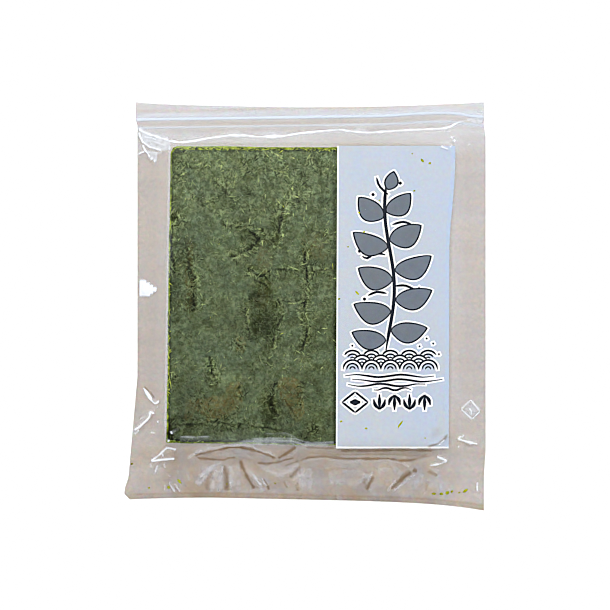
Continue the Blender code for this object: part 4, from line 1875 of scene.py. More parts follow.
@dataclass
class NoriStack:
    """Ten wavy sheets, the top one modelled finely, with loose strands on it."""

    width: float = 188.6
    length: float = 206.6
    middle: Pair = (-1.1, 6.7)
    turn: float = -0.47
    slant: float = 0.35
    count: int = 10
    base: float = 0.35
    pitch: float = 0.60
    thickness: float = 0.20
    rounding: float = 4.2
    low_rounding: float = 0.3
    card_edge: float = 20.6
    strand_count: int = 2300
    rim_flakes: int = 240
    side_flakes: int = 48
    strands_end: float = 24.0
    strand_thickness: float = 0.06
    chip_share: float = 0.75
    gold_share: float = 0.015
    finish: RoastedNori = field(default_factory=RoastedNori)
    strand_finish: LooseStrand = field(default_factory=LooseStrand)

    def level(self, number: int) -> float:
        """Height of a sheet's underside, counted from 0 at the bottom."""
        return self.base + self.pitch * number

    def spread(self, u: Array, v: Array, grain: Grain, ragged: float) -> tuple[Array, Array]:
        """Places a sheet's points before it's turned, with a ragged outline.

        Args:
            u: Each point's place along X, from 0 to 1.
            v: Each point's place along Y, from 0 to 1.
            grain: What makes the outline ragged.
            ragged: How far it does, in millimetres.

        Returns:
            X and Y, in millimetres.
        """
        x, y = self.width * (u - 0.5), self.length * (v - 0.5)
        out_x, out_y = np.sign(u - 0.5), np.sign(v - 0.5)
        inward_x, inward_y = np.minimum(u, 1 - u) * self.width, np.minimum(v, 1 - v) * self.length
        rounding = self.rounding * np.where(v > 0.5, 1.0, self.low_rounding)
        close_x, close_y = rounding - inward_x, rounding - inward_y
        corner = (close_x > 0) & (close_y > 0)
        squeeze = np.where(corner, np.maximum(close_x, close_y) / np.hypot(close_x, close_y), 1.0)
        x -= out_x * np.where(corner, close_x * (1.0 - squeeze), 0.0)
        y -= out_y * np.where(corner, close_y * (1.0 - squeeze), 0.0)
        side_x, side_y = out_x * ramp(14.0, 0.0, inward_x), out_y * ramp(14.0, 0.0, inward_y)
        wave = Grain(grain.seed + 7)
        x += side_x * (0.45 * wave.at(y, y * 0, 38.0) + ragged * grain.layered(y, y * 0, 6.0, 4))
        y += side_y * (0.75 * wave.at(x * 0, x, 34.0) + ragged * grain.layered(x * 0, x, 6.0, 4))
        return x, y

    def settle(self, x: Array, y: Array, shift: Pair = (0.0, 0.0), turn: float = 0.0) -> tuple[Array, Array]:
        """Slants and turns a sheet and moves it to its place in the stack.

        Args:
            x: The sheet's points.
            y: The sheet's points.
            shift: How far the sheet lies off the stack's middle.
            turn: How it's turned against the stack, in degrees.

        Returns:
            X and Y in the bag.
        """
        angle = math.radians(self.turn + turn)
        x = x + y * math.tan(math.radians(self.slant))
        across = x * math.cos(angle) - y * math.sin(angle) + self.middle[0] + shift[0]
        along = x * math.sin(angle) + y * math.cos(angle) + self.middle[1] + shift[1]
        return across, along

    def relief(self, x: Array, y: Array) -> Relief:
        """Reads the top sheet.

        Args:
            x: Places in the bag.
            y: Places in the bag.

        Returns:
            What it's like there.
        """
        height = read_all(SHEET_HEIGHT, x, y)
        height += 0.22 * (Grain(43).creased(x, y, 7.0) - 0.6) + 0.09 * Grain(44).at(x, y, 2.2)
        torn_up = ramp(0.05, 0.45, Grain(49).layered(x, y, 14.0))
        crumpled = 0.10 + 0.14 * ramp(48.0, 72.0, y)
        crumpled += 0.42 * torn_up * (0.4 + 0.6 * ramp(20.0, 72.0, y))
        dark = patches(DARK_PATCHES, x, y)
        tone = read_all(SHEET_TONE, x, y) + 0.14 * patches(BROWN_PATCHES, x, y) - 0.30 * dark
        stain_and_shade = 0.70 * dark
        crumpled += 0.25 * dark
        wobble_x = x + 0.7 * Grain(47).at(x, y, 6.0) + 0.5 * Grain(56).at(x, y, 2.4)
        wobble_y = y + 0.7 * Grain(48).at(x, y, 6.0) + 0.5 * Grain(57).at(x, y, 2.4)
        broken = 0.35 + 0.65 * ramp(-0.45, 0.15, Grain(58).at(x, y, 4.0))
        for wrinkle in WRINKLES:
            groove, lip, stain, around = wrinkle.read(wobble_x, wobble_y, broken)
            height += 1.3 * wrinkle.depth * (0.8 * lip - groove)
            # Painted light on the lip and painted shade in the groove and around it.
            tone += wrinkle.dark * (0.60 * lip - 0.90 * groove)
            stain_and_shade = np.maximum(stain_and_shade, stain)
            crumpled = np.maximum(crumpled, around)
        for net in FISSURES:
            fissure = ramp(0.86, 0.98, Grain(net.seed).creased(wobble_x * 1.3, wobble_y, net.pitch))
            tone -= 0.6 * net.strength * fissure * (0.10 + 0.90 * crumpled)
            stain_and_shade = np.maximum(stain_and_shade, 1.4 * net.strength * fissure * crumpled)
            height -= 0.10 * fissure
        return Relief(height, np.clip(tone, -1.0, 1.0), np.clip(crumpled, 0.0, 1.0), stain_and_shade)

    def rim(self, slab: Slab, inner: float, outer: float) -> Array:
        """Ramps up towards a sheet's edges.

        Args:
            slab: The sheet.
            inner: Distance from the edge where the ramp leaves 0.
            outer: Distance where it reaches 1.

        Returns:
            Values from 0 to 1.
        """
        inward_x = np.minimum(slab.u, 1 - slab.u) * self.width
        inward_y = np.minimum(slab.v, 1 - slab.v) * self.length
        return ramp(inner, outer, np.minimum(inward_x, inward_y))

    def along_top(self, slab: Slab, start: float, end: float) -> Array:
        """Ramps up towards a sheet's top edge, between two distances from it."""
        return ramp(start, end, (1 - slab.v) * self.length)

    def top_sheet(self) -> Slab:
        """The sheet that shows, with its wrinkles and patches."""
        slab = Slab(f"nori_sheet_{self.count:02d}", 262, 288)
        x, y = self.settle(*self.spread(slab.u, slab.v, Grain(51), 0.5))
        relief = self.relief(x, y)
        droop = 0.5 * (1 - self.rim(slab, 5.0, 0.0)) - 0.5
        surface = self.level(self.count - 1) + relief.height + droop
        slab.place(x, y, np.where(slab.upper, surface + self.thickness, surface))
        along_left = ramp(4.0, 2.0, slab.u * self.width)
        # The rim: painted light shining through the thin edges, strongest along the top and the left.
        rim = np.maximum(self.rim(slab, 1.3, 0.2), 0.9 * self.rim(slab, 1.6, 0.6) * along_left)
        rim *= 0.7 + 0.6 * Grain(55).at(x, y, 3.0)
        # Painted shade just inside the rim, and a painted shadow along the card's left edge.
        sunk = 0.75 * self.rim(slab, 2.8, 1.4) * (1 - rim) + 0.5 * bell(x - self.card_edge, 1.2)
        glow_edges = np.maximum(self.along_top(slab, 3.0, 1.0), 0.6 * along_left)
        slab.mark("tone", relief.tone - sunk)
        slab.mark("crumpled", relief.crumpled)
        slab.mark("stain_and_shade", relief.stain_and_shade)
        slab.mark("browned", patches(BROWN_PATCHES, x, y))
        slab.mark("rimmed", np.clip((0.5 + 0.5 * glow_edges) * rim, 0.0, 1.0))
        slab.thin_out(~slab.upper, 0.06)
        slab.smooth()
        return slab

    def lower_sheet(self, number: int) -> Slab:
        """Makes one of the sheets below.

        Args:
            number: Which one, counted from 0 at the bottom.

        Returns:
            The sheet.
        """
        draw = np.random.default_rng(200 + number)
        slab = Slab(f"nori_sheet_{number + 1:02d}", 62, 68)
        grain = Grain(60 + number)
        shift = (draw.uniform(0.6, 0.9), draw.uniform(0.3, 1.3))
        x, y = self.settle(*self.spread(slab.u, slab.v, grain, 0.35), shift, draw.uniform(-0.05, 0.05))
        surface = self.level(number) + 0.13 * grain.layered(x, y, 24.0)
        slab.place(x, y, np.where(slab.upper, surface + self.thickness, surface))
        slab.mark("tone", np.full(x.shape, draw.uniform(-0.2, 0.15)))
        # The rim: painted light shining through the edges, strongest along the top.
        slab.mark("rimmed", (0.30 + 0.65 * self.along_top(slab, 6.0, 3.0)) * self.rim(slab, 3.6, 0.0))
        slab.smooth()
        return slab

    def spindle(self) -> tuple[Array, Array]:
        """The points of one flat spindle, with its length along Z, and its faces."""
        deselect()
        bpy.ops.mesh.primitive_cone_add(vertices=4, radius1=1.0, depth=1.0, end_fill_type="NOTHING")
        bpy.ops.object.mode_set(mode="EDIT")
        bpy.ops.mesh.select_all(action="SELECT")
        bpy.ops.mesh.duplicate()
        bpy.ops.transform.resize(value=(1.0, 1.0, -1.0), center_override=(0.0, 0.0, -0.5))
        bpy.ops.mesh.select_all(action="SELECT")
        bpy.ops.mesh.remove_doubles(threshold=0.01)
        bpy.ops.mesh.normals_make_consistent(inside=False)
        bpy.ops.object.mode_set(mode="OBJECT")
        seed = bpy.context.object
        points = np.array([v.co for v in seed.data.vertices]) + (0.0, 0.0, 0.5)
        faces = np.array([f.vertices[:] for f in seed.data.polygons])
        bpy.data.objects.remove(seed)
        return points, faces

    def scatter(self, draw: np.random.Generator) -> Flight:
        """Strews the strands over the top sheet, with the first ones along its rim.

        Args:
            draw: Where the random numbers come from.

        Returns:
            The strands.
        """
        count, top, left = self.strand_count, 0.5 * self.length, -0.5 * self.width
        x = draw.uniform(left + 1.8, self.strands_end, count)
        y = draw.uniform(-0.5, 0.5, count) * (self.length - 3.0)
        rimmed, side = (np.arange(count) < flakes for flakes in (self.rim_flakes, self.side_flakes))
        y = np.where(rimmed, top + 0.3 - draw.gamma(2.0, 0.35, count), y)
        beside = left + 0.2 + draw.gamma(2.0, 0.35, count)
        x, y = np.where(side, beside, x), np.where(side, x[::-1], y)
        x, y = self.settle(x, y)
        relief = self.relief(x, y)
        chip = draw.uniform(0.0, 1.0, count) < self.chip_share
        size = 0.50 + 0.75 * relief.crumpled
        short, long = draw.uniform(0.9, 2.3, count), draw.gamma(3.0, 0.45, count).clip(0.6, 3.2)
        wide, narrow = draw.uniform(0.35, 0.80, count), draw.uniform(0.18, 0.40, count)
        rim_half, rim_broad = draw.uniform(0.4, 1.2, count), draw.uniform(0.20, 0.45, count)
        half = np.where(rimmed, rim_half, size * np.where(chip, short, long))
        broad = np.where(rimmed, rim_broad, size * np.where(chip, wide, narrow))
        angle = draw.uniform(0.0, math.pi, count)
        angle = np.where(rimmed, 0.6 * (angle - 1.6) + 1.57 * side, angle)
        return Flight(x, y, rimmed, chip, half, broad, angle, draw.normal(0.0, 0.06, count), relief)

    def strands(self) -> bpy.types.Object:
        """Loose matted strands on the top sheet: one flat spindle, copied with its own place."""
        draw = np.random.default_rng(300)
        points, faces = self.spindle()
        flight = self.scatter(draw)
        count, relief = self.strand_count, flight.relief
        level = self.level(self.count - 1) + self.thickness + relief.height + 0.02
        along = 2.0 * points[:, 2] * flight.half[:, None]
        across = points[:, 0] * flight.broad[:, None]
        cos, sin = np.cos(flight.angle)[:, None], np.sin(flight.angle)[:, None]
        x = flight.x[:, None] + along * cos - across * sin
        y = flight.y[:, None] + along * sin + across * cos
        z = level[:, None] + self.strand_thickness * points[:, 1] + along * flight.tilt[:, None]
        places = np.stack([x, y, z], axis=2).reshape(-1, 3) * MM
        first = (np.arange(count) * len(points))[:, None, None]
        mesh = bpy.data.meshes.new("nori_strands")
        mesh.from_pydata(places.tolist(), [], (faces + first).reshape(-1, faces.shape[1]).tolist())
        piece = bpy.data.objects.new("nori_strands", mesh)
        bpy.context.scene.collection.objects.link(piece)

        sunk = draw.uniform(0.0, 1.0, count) < 0.5
        own = np.where(sunk, draw.normal(-0.70, 0.15, count), draw.normal(0.24, 0.22, count))
        # Strands take the tone of the sheet under them, with its painted light and shade.
        matted = own * (0.50 + 0.50 * relief.crumpled) + 0.7 * relief.tone
        tone = np.where(flight.rimmed, own, matted) + Swell(54, 15.0, 0.35).read(flight.x, flight.y)
        gold = (draw.uniform(0, 1, count) > 1.0 - self.gold_share) & ~flight.chip
        # Rim strands take the rim's painted yellow glow; a few others are yellow of their own.
        yellow = np.where(gold | (flight.rimmed & ~sunk), 0.7, 0.0)
        for name, values in (("tone", np.clip(tone, -1.0, 1.0)), ("rimmed", yellow)):
            store(mesh, name, np.repeat(values, len(points)))
        return piece

    def build(self) -> list[bpy.types.Object]:
        """Makes all sheets and the strands."""
        material = self.finish.material()
        sheets = [self.lower_sheet(number) for number in range(self.count - 1)]
        sheets.append(self.top_sheet())
        pieces = [dress(sheet.piece, material) for sheet in sheets]
        pieces.append(dress(self.strands(), self.strand_finish.material()))
        return pieces


# ---------------------------------------------------------------- the card and its print


@dataclass
class LabelCard:
    """The tall card over the right side of the stack. Its right edge bends down a little."""

    left: float = 22.1
    right: float = 105.0
    top: float = 112.1
    bottom: float = -99.2
    lean: float = 0.27
    narrowing: float = 4.0
    lift: float = 6.20
    thickness: float = 0.30
    strip: float = 2.8
    finish: SmoothCard = field(default_factory=SmoothCard)

    def right_edge(self, y: Array) -> Array:
        """X of the right edge, which draws in towards the bottom."""
        down = np.clip((self.top - y) / (self.top - self.bottom), 0.0, 1.0)
        return self.right - self.narrowing * ramp(0.04, 0.36, down) - 0.6 * down

    def surface(self, x: Array, y: Array) -> Array:
        """Height of the card's printed face, in millimetres.

        Args:
            x: Places.
            y: Places.

        Returns:
            The height there.
        """
        wave = 0.05 * Grain(71).at(x, y, 55.0)
        past = np.clip(x - self.right_edge(y) + self.strip, 0.0, None)
        peak = 0.5 * ramp(0.0, 9.0, (x - 94.0) + (y - 104.0))
        return self.lift + self.thickness + wave - 0.16 * past**1.3 - peak

    def build(self) -> bpy.types.Object:
        """Makes the card."""
        slab = Slab("label_card", 120, 260)
        y = self.bottom + (self.top - self.bottom) * slab.v
        left = self.left + (y - 7.0) * math.tan(math.radians(self.lean))
        x = left + (self.right_edge(y) - left) * slab.u
        height = self.surface(x, y)
        slab.place(x, y, np.where(slab.upper, height, height - self.thickness))
        # Painted light on the strip that bends down, and a painted highlight along the left and bottom
        # edges.
        slab.mark("bent", ramp(-self.strip - 0.5, -self.strip + 0.6, x - self.right_edge(y)))
        rim = np.minimum(x - left, y - self.bottom)
        slab.mark("lit_edge", np.where(x > 100.5, 0.0, ramp(1.3, 0.7, rim)))
        slab.smooth(40.0)
        return dress(slab.piece, self.finish.material())


class Layer(Enum):
    """The print's layers, with their height over the card in millimetres."""

    HALO = 0.05
    LINE = 0.09
    FILL = 0.13


@dataclass(frozen=True)
class Blade:
    """One leaf of the sprig, in millimetres and degrees."""

    root_y: float
    side: int
    length: float
    width: float
    rise: float
    bow: float
    fullest: float = 0.85


@dataclass
class CardPrint:
    """A generic print: a leafy sprig over rows of waves, and a row of small sprouts."""

    card: LabelCard
    sheet: float = 0.03
    outline_width: float = 1.05
    halo_width: float = 2.25
    stem_x: float = 59.0
    stem_sway: float = 3.4
    scale_radius: float = 6.6
    scale_rows: int = 3
    scale_left: float = 26.6
    scale_top: float = -37.5
    lozenge: Pair = (35.0, -67.0)
    sprouts_x: tuple[float, ...] = (52.0, 62.5, 73.0, 83.5)
    tendrils: tuple[Path, ...] = (
        line(62.0, 14.0, 70.0, 14.5, 77.0, 11.5, 80.0, 13.5),
        line(56.0, 36.0, 49.0, 37.0, 43.5, 33.5, 40.0, 35.0),
        line(61.0, 57.0, 69.0, 59.0, 76.0, 56.0),
        line(57.0, 9.0, 50.0, 10.0, 44.0, 7.5),
        line(58.0, 78.0, 52.0, 84.0, 50.0, 90.0),
    )
    seeds: Path = line(82.5, 10.0, 38.0, 38.5, 79.0, 53.5, 41.5, 5.0, 66.5, 86.0, 47.5, 78.0)
    swells: tuple[Triple, ...] = (
        (28.0, 90.0, -48.6), (33.0, 96.0, -51.8), (30.0, 84.0, -55.0), (48.0, 74.0, -57.8),
    )
    drops: Path = line(
        33.0, -27.5, 39.0, -25.0, 28.5, -33.0, 85.0, -22.5, 89.5, -26.0, 93.5, -33.5, 80.0, -28.0
    )
    layers: dict[Layer, list[bpy.types.Object]] = field(
        default_factory=lambda: {layer: [] for layer in Layer}
    )
    blades: tuple[Blade, ...] = (
        Blade(-24.0, -1, 23.0, 12.0, 14, 0.10),
        Blade(-17.0, 1, 24.0, 13.0, 4, -0.10),
        Blade(-4.0, -1, 25.0, 14.0, 12, 0.14),
        Blade(4.0, 1, 25.0, 13.5, 16, -0.10),
        Blade(18.0, -1, 24.0, 14.5, 20, 0.12),
        Blade(25.0, 1, 26.0, 14.0, 22, -0.14),
        Blade(41.0, -1, 25.0, 13.5, 24, 0.14),
        Blade(46.0, 1, 23.0, 14.5, 26, -0.10),
        Blade(62.0, -1, 21.0, 13.5, 40, 0.10),
        Blade(66.0, 1, 20.0, 12.5, 38, -0.12),
        Blade(82.0, 1, 12.0, 8.0, 72, -0.06),
    )

    def lay(self, layer: Layer, columns: int, rows: int, form: Form) -> None:
        """Lays one thin shape on the card.

        Args:
            layer: The layer that it's printed in.
            columns: Cells along the shape.
            rows: Cells across it.
            form: Gives X and Y, in millimetres, from the places along and across, from 0 to 1.
        """
        slab = Slab("print_shape", columns, rows)
        x, y = form(slab.u, slab.v)
        height = self.card.surface(x, y) + layer.value
        slab.place(x, y, np.where(slab.upper, height, height - self.sheet))
        self.layers[layer].append(slab.piece)

    def stroke(self, path: Path, width: float, taper: float = 0.25, halo: bool = True) -> None:
        """A brush line along a path, thinner at its ends.

        Args:
            path: Its course.
            width: Its full width.
            taper: Over which share of its length it grows to that.
            halo: Whether a pale keyline surrounds it.
        """
        course = np.array(smooth_path(path, 5))
        steps = np.concatenate([[0.0], np.cumsum(np.hypot(*np.diff(course, axis=0).T))])
        steps /= steps[-1]
        slope = np.gradient(course, axis=0)
        slope /= np.hypot(slope[:, 0], slope[:, 1])[:, None]

        def strip(extra: float) -> Form:
            """The line, wider by extra on each side."""

            def form(u: Array, v: Array) -> tuple[Array, Array]:
                """X and Y at the shares u along the line and v across it."""
                swell = 0.35 + 0.65 * ramp(0.0, taper, u) * ramp(1.0, 1.0 - taper, u)
                half = (width * swell / 2 + extra) * (2 * v - 1)
                mx, my = (np.interp(u, steps, course[:, axis]) for axis in (0, 1))
                sx, sy = (np.interp(u, steps, slope[:, axis]) for axis in (0, 1))
                stretch = extra * (2 * u - 1)
                return mx - sy * half + sx * stretch, my + sx * half + sy * stretch

            return form

        count = max(6, 3 * (len(path) - 1))
        if halo:
            self.lay(Layer.HALO, count, 1, strip(self.halo_width - self.outline_width))
        self.lay(Layer.LINE, count, 1, strip(0.0))

    def stem(self, y: float) -> float:
        """X of the sprig's stem at Y."""
        return self.stem_x + self.stem_sway * math.sin(0.055 * y + 0.9)

    def leaf(self, blade: Blade) -> None:
        """Lays a leaf with a dark outline and a slate fill.

        Args:
            blade: Its size and place.
        """
        root = (self.stem(blade.root_y) + 1.7 * blade.side, blade.root_y)
        angle = math.radians(blade.rise)
        dx, dy = blade.side * math.cos(angle), math.sin(angle)

        def shape(extra: float) -> Form:
            """The leaf, larger by extra all round."""

            def form(u: Array, v: Array) -> tuple[Array, Array]:
                """X and Y at the shares u along the leaf and v across it."""
                reach = -0.9 * extra + (blade.length + 2.1 * extra) * u
                swell = np.sin(np.pi * np.clip(u, 0.0, 1.0) ** blade.fullest) ** 0.78
                half = (blade.width / 2 + extra) * swell * (2 * v - 1)
                side = half + blade.bow * blade.length * np.sin(np.pi * u)
                return root[0] + dx * reach - dy * side, root[1] + dy * reach + dx * side

            return form

        sizes = ((Layer.HALO, self.halo_width), (Layer.LINE, self.outline_width), (Layer.FILL, 0.0))
        for layer, extra in sizes:
            self.lay(layer, 30, 2, shape(extra))

    def dabs(self, places: Path, reach: Pair, back: Pair, width: float, taper: float) -> None:
        """Lays short dabs.

        Args:
            places: Their middles.
            reach: From a dab's middle to its end.
            back: From its middle to its start.
            width: Their width.
            taper: Over which share of their length they grow to that.
        """
        for x, y in places:
            start, end = (x - back[0], y - back[1]), (x + reach[0], y + reach[1])
            self.stroke((start, (x, y), end), width, taper)

    def sprig(self) -> None:
        """The sprig: a wavy stem with leaves on both sides, a few tendrils and seeds."""
        self.stroke(tuple((self.stem(y), float(y)) for y in range(-31, 90, 10)), 2.4, 0.12)
        for blade in self.blades:
            self.leaf(blade)
        for tendril in self.tendrils:
            self.stroke(tendril, 1.7, 0.2)
        self.dabs(self.seeds, (0.9, 0.7), (0.9, 0.6), 2.3, 0.3)

    def scales(self) -> None:
        """Rows of overlapping wave arcs, a traditional pattern. The last row's arcs are half circles."""
        for row in range(self.scale_rows):
            start = 0 if row == self.scale_rows - 1 else 32
            odd = row % 2
            cy = self.scale_top - row * self.scale_radius / 2
            for number in range(5 - odd):
                cx = self.scale_left + self.scale_radius * (1 + odd + 2 * number)
                for ring, share in enumerate((1.0, 0.62, 0.28)):
                    reach = self.scale_radius * share
                    turns = np.radians(np.linspace(180 - start, start, 7))
                    arc = tuple((cx + reach * math.cos(a), cy + reach * math.sin(a)) for a in turns)
                    self.stroke(arc, 1.35 - 0.2 * ring, 0.15, halo=ring == 0)

    def waves(self) -> None:
        """The wave arcs, a few long swells under them, and drops over them."""
        self.scales()
        for number, (left, right, y) in enumerate(self.swells):
            swell = tuple(
                (left + (right - left) * step / 8, y + 0.9 * math.sin(1.55 * step + 1.3 * number))
                for step in range(9)
            )
            self.stroke(swell, 1.5, 0.35)
        self.dabs(self.drops, (0.6, 0.3), (0.6, 0.2), 1.5, 0.4)

    def sprouts(self) -> None:
        """A lozenge and four small sprouts of three dabs each."""
        cx, cy = self.lozenge
        frame_path = line(cx - 9.0, cy, cx, cy + 7.2, cx + 9.0, cy, cx, cy - 7.2, cx - 9.0, cy)
        for a, b in zip(frame_path, frame_path[1:]):
            middle = ((a[0] + b[0]) / 2, (a[1] + b[1]) / 2)
            self.stroke((a, middle, b), 1.5, 0.05)
        self.stroke(line(cx - 3.6, cy, cx, cy, cx + 3.6, cy), 4.6, 0.5)
        for number, x in enumerate(self.sprouts_x):
            flip = 1 if number % 2 == 0 else -1
            foot = cy - 5.0 * flip
            for lean, reach in ((-4.0, 7.0), (0.0, 10.5), (4.0, 7.0)):
                tip = (x + lean, foot + flip * reach)
                middle = (x + 0.75 * lean, foot + flip * reach * 0.45)
                self.stroke(((x, foot), middle, tip), 2.5, 0.45)

    def build(self) -> list[bpy.types.Object]:
        """Lays the whole print and joins each layer into one piece."""
        self.sprig()
        self.waves()
        self.sprouts()
        keyline = PrintInk("label_keyline", (0.97, 0.985, 1.0), (0.95, 0.97, 1.0))
        line_ink = PrintInk("label_line_ink", (0.004, 0.008, 0.018), (0.010, 0.018, 0.035))
        fill_ink = PrintInk("label_fill_ink", (0.150, 0.180, 0.222), (0.180, 0.215, 0.265))
        inks = (
            (Layer.HALO, "print_halo", keyline, Slot.CARD),
            (Layer.LINE, "print_lines", line_ink, Slot.INK),
            (Layer.FILL, "print_fill", fill_ink, Slot.INK),
        )
        return [
            dress(join(self.layers[layer], name), ink.material())
            for layer, name, ink, slot in inks
        ]


@dataclass(frozen=True)
class Flake:
    """One crumb: its middle and its size in millimetres, and how it's turned in degrees."""

    x: float
    y: float
    length: float
    width: float
    angle: float


@dataclass
class Crumbs:
    """Broken bits of nori that lie on the card and in the bag's corners."""

    card: LabelCard
    finish: RoastedNori = field(
        default_factory=lambda: RoastedNori(
            "nori_crumb", deep=(0.05, 0.07, 0.002), olive=(0.26, 0.30, 0.01), mid=(0.46, 0.50, 0.02),
            pale=(0.66, 0.70, 0.08),
        )
    )
    thickness: float = 0.22
    card_gap: float = 0.16
    corner_level: float = 0.35
    fullness: float = 0.62
    raggedness: float = 0.28
    on_card: tuple[Flake, ...] = (
        Flake(81.9, 102.0, 2.6, 1.3, -52.0), Flake(87.2, 99.9, 1.5, 1.2, 20.0),
        Flake(74.9, 106.6, 0.9, 0.7, 0.0), Flake(76.3, 80.7, 1.2, 0.8, 15.0),
        Flake(37.8, 65.3, 1.2, 0.9, -30.0), Flake(41.3, 52.0, 1.3, 0.9, 40.0),
        Flake(30.1, 41.5, 1.1, 0.7, 0.0), Flake(36.4, 9.3, 3.2, 1.0, -48.0),
        Flake(23.8, 5.1, 1.3, 1.1, 0.0), Flake(66.5, -82.4, 5.2, 1.0, 55.0),
        Flake(25.2, -80.3, 1.4, 1.0, 30.0), Flake(42.7, -85.3, 1.4, 1.1, 10.0),
        Flake(52.0, 74.0, 0.9, 0.7, 10.0), Flake(84.0, -92.0, 1.0, 0.7, 0.0),
    )
    in_corners: tuple[Flake, ...] = (
        Flake(-121.3, -110.4, 1.6, 1.1, 20.0), Flake(-109.2, -127.2, 1.3, 1.0, 0.0),
        Flake(-95.6, -126.8, 1.9, 1.8, 60.0), Flake(-88.2, -122.4, 3.2, 1.5, -48.0),
        Flake(-54.6, -124.4, 1.2, 1.2, 0.0), Flake(90.3, -131.4, 2.6, 1.2, -8.0),
        Flake(95.6, -131.4, 2.2, 1.5, 12.0), Flake(99.8, -130.7, 2.3, 1.8, 30.0),
        Flake(103.0, -129.8, 1.6, 1.2, 60.0), Flake(112.3, -129.3, 3.0, 1.7, 34.0),
        Flake(108.0, -130.6, 1.6, 0.7, 25.0), Flake(-21.0, -124.0, 1.0, 0.8, 0.0),
    )

    def flake(self, shape: Flake, level: float, draw: np.random.Generator) -> bpy.types.Object:
        """Makes one crumb as a small ragged flake.

        Args:
            shape: Its size and place.
            level: Height of its middle.
            draw: Where the random numbers come from.

        Returns:
            The crumb, without a finish.
        """
        deselect()
        bpy.ops.mesh.primitive_uv_sphere_add(segments=9, ring_count=5, radius=1.0)
        piece = bpy.context.object
        points = np.array([v.co for v in piece.data.vertices])
        points *= 1.0 + draw.uniform(-self.raggedness, self.raggedness, (len(points), 1))
        along = points[:, 0] * shape.length * self.fullness
        across = points[:, 1] * shape.width * self.fullness
        turn = math.radians(shape.angle)
        x = shape.x + along * math.cos(turn) - across * math.sin(turn)
        y = shape.y + along * math.sin(turn) + across * math.cos(turn)
        place(piece.data, x, y, level + points[:, 2] * self.thickness / 2)
        return piece

    def build(self) -> bpy.types.Object:
        """Makes all crumbs and joins them."""
        draw = np.random.default_rng(77)
        flakes = []
        for shape in self.on_card:
            card_top = float(self.card.surface(np.array([shape.x]), np.array([shape.y]))[0])
            flakes.append(self.flake(shape, card_top + self.card_gap, draw))
        flakes += [self.flake(shape, self.corner_level, draw) for shape in self.in_corners]
        return dress(join(flakes, "nori_crumbs"), self.finish.material())


# ---------------------------------------------------------------- the studio


@dataclass(frozen=True)
class SoftBox:
    """A rectangular studio light aimed at the bag, in metres and watts.

    A mirrored one only shows in reflections, and the others only light matt surfaces.
    """

    name: str
    place: Triple
    size: Pair
    power: float
    colour: Colour = (1.0, 1.0, 1.0)
    mirrored: bool = False
    shadows: bool = True

    def hang(self) -> None:
        """Adds the light."""
        lamp = bpy.data.lights.new(self.name, "AREA")
        lamp.use_shadow = self.shadows
        lamp.shape = "RECTANGLE"
        lamp.size, lamp.size_y = self.size
        lamp.energy = self.power
        lamp.color = self.colour
        rig = bpy.data.objects.new(self.name, lamp)
        rig.visible_camera = False
        rig.visible_glossy = self.mirrored
        rig.visible_diffuse = not self.mirrored
        bpy.context.scene.collection.objects.link(rig)
        x, y, z = self.place
        rig.location = self.place
        rig.rotation_euler = (math.atan2(math.hypot(x, y), z), 0.0, math.atan2(y, x) + math.pi / 2)


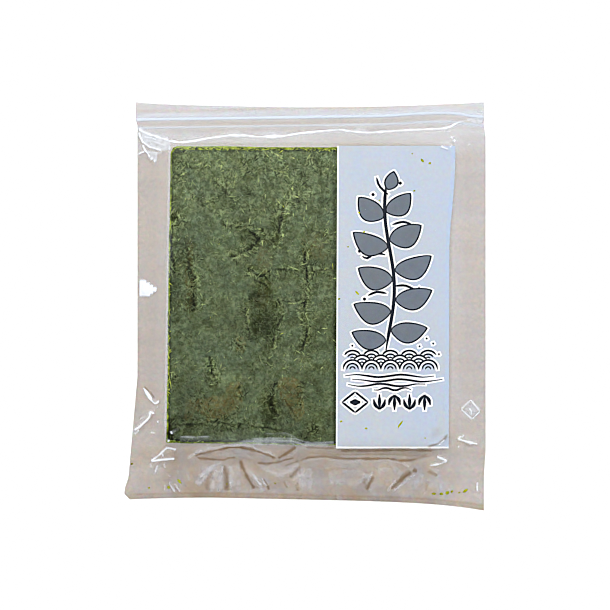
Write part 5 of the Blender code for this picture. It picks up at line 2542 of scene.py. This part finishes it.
@dataclass(frozen=True)
class Studio:
    """A pale floor, soft light and a camera straight above."""

    picture_width: float = 0.4270
    camera_height: float = 2.0
    camera_shift: float = 0.0009
    sharp_level: float = 0.002
    sensor: float = 36.0
    crispness: float = 0.9
    blur_size: Pair = (3.0, 3.0)
    gamma: float = 2.2
    sky_colour: Colour = (0.96, 0.98, 1.0)
    floor_size: float = 6.0
    floor_level: float = -0.0002
    floor_colour: Colour = (0.93, 0.93, 0.93)
    boxes: tuple[SoftBox, ...] = (
        SoftBox("overhead", (0.0, 0.30, 1.80), (1.3, 1.3), 18.0),
        SoftBox("key_window", (-0.50, 1.45, 1.75), (0.8, 0.6), 23.0, (1.0, 0.995, 0.98), shadows=False),
        SoftBox("top_glint", (0.10, 1.15, 0.70), (1.30, 0.14), 2.0, (0.95, 0.98, 1.0), mirrored=True),
    )

    def sky(self) -> None:
        """A soft ring of light all round, brighter on the zip's side and dark straight above."""
        world = bpy.data.worlds.new("surround")
        bpy.context.scene.world = world
        world.use_nodes = True
        bench = NodeBench(world.node_tree)
        way = bench.add("SeparateXYZ", {0: bench.add("TexCoord").outputs["Generated"]}).outputs
        overhead = bench.remap(way["Z"], 0.70, 0.95, 1.0, 0.10, "SMOOTHSTEP")
        horizon = bench.remap(way["Z"], 0.0, 0.4, 0.6, 1.0, "SMOOTHSTEP")
        zip_side = bench.remap(way["Y"], -0.7, 0.8, 0.60, 0.95, "SMOOTHSTEP")
        strength = bench.calc("MULTIPLY", bench.calc("MULTIPLY", overhead, horizon), zip_side)
        background = world.node_tree.nodes["Background"]
        background.inputs["Color"].default_value = (*self.sky_colour, 1.0)
        world.node_tree.links.new(strength, background.inputs["Strength"])

    def floor(self) -> None:
        """A plain pale floor."""
        deselect()
        bpy.ops.mesh.primitive_plane_add(size=self.floor_size, location=(0.0, 0.0, self.floor_level))
        floor = bpy.context.object
        floor.name = "floor"
        bench = Bench("pale_floor")
        floor.data.materials.append(bench.finish(bench.solid(self.floor_colour, 0.75)))

    def camera(self) -> None:
        """The camera, straight above the bag."""
        lens = bpy.data.cameras.new("camera")
        lens.sensor_width = self.sensor
        lens.lens = self.sensor * (self.camera_height - self.sharp_level) / self.picture_width
        camera = bpy.data.objects.new("camera", lens)
        camera.location = (0.0, self.camera_shift, self.camera_height)
        bpy.context.scene.collection.objects.link(camera)
        bpy.context.scene.camera = camera

    def sharpen(self) -> None:
        """Makes the picture as crisp as a studio photograph: adds back what a slight blur takes."""
        scene = bpy.context.scene
        scene.use_nodes = True
        scene.node_tree.nodes.clear()
        bench = NodeBench(scene.node_tree, "CompositorNode")

        def mixed(mode: str, share: float, a: Socket, b: Socket | None = None, clamp: bool = True) -> Socket:
            """Mixes two pictures. Without a second one and with no share, it only clamps the first."""
            inputs = {0: share, 1: a} if b is None else {0: share, 1: a, 2: b}
            return bench.add("MixRGB", inputs, blend_type=mode, use_clamp=clamp).outputs[0]

        def bent(picture: Socket, gamma: float) -> Socket:
            """Raises a picture to a power."""
            return bench.add("Gamma", {"Image": picture, "Gamma": gamma}).outputs[0]

        held = mixed("MULTIPLY", 0.0, bench.add("RLayers").outputs["Image"])
        light = bent(held, 1.0 / self.gamma)
        soft = bench.add("Blur", {"Image": light, "Size": self.blur_size}, filter_type="GAUSS").outputs[0]
        detail = mixed("SUBTRACT", 1.0, light, soft, clamp=False)
        crisp = mixed("ADD", self.crispness, light, detail)
        bench.add("Composite", {"Image": bent(crisp, self.gamma)})

    def build(self) -> None:
        """Sets up the whole studio."""
        self.camera()
        self.sky()
        self.floor()
        self.sharpen()
        for box in self.boxes:
            box.hang()
        bpy.context.scene.view_settings.view_transform = "Standard"


def main() -> None:
    """Builds the bag, its contents and the studio."""
    Studio().build()
    NoriStack().build()
    card = LabelCard()
    card.build()
    CardPrint(card).build()
    Crumbs(card).build()
    PressZip().build()
    BagFilm().build()


if __name__ == "__main__":
    main()
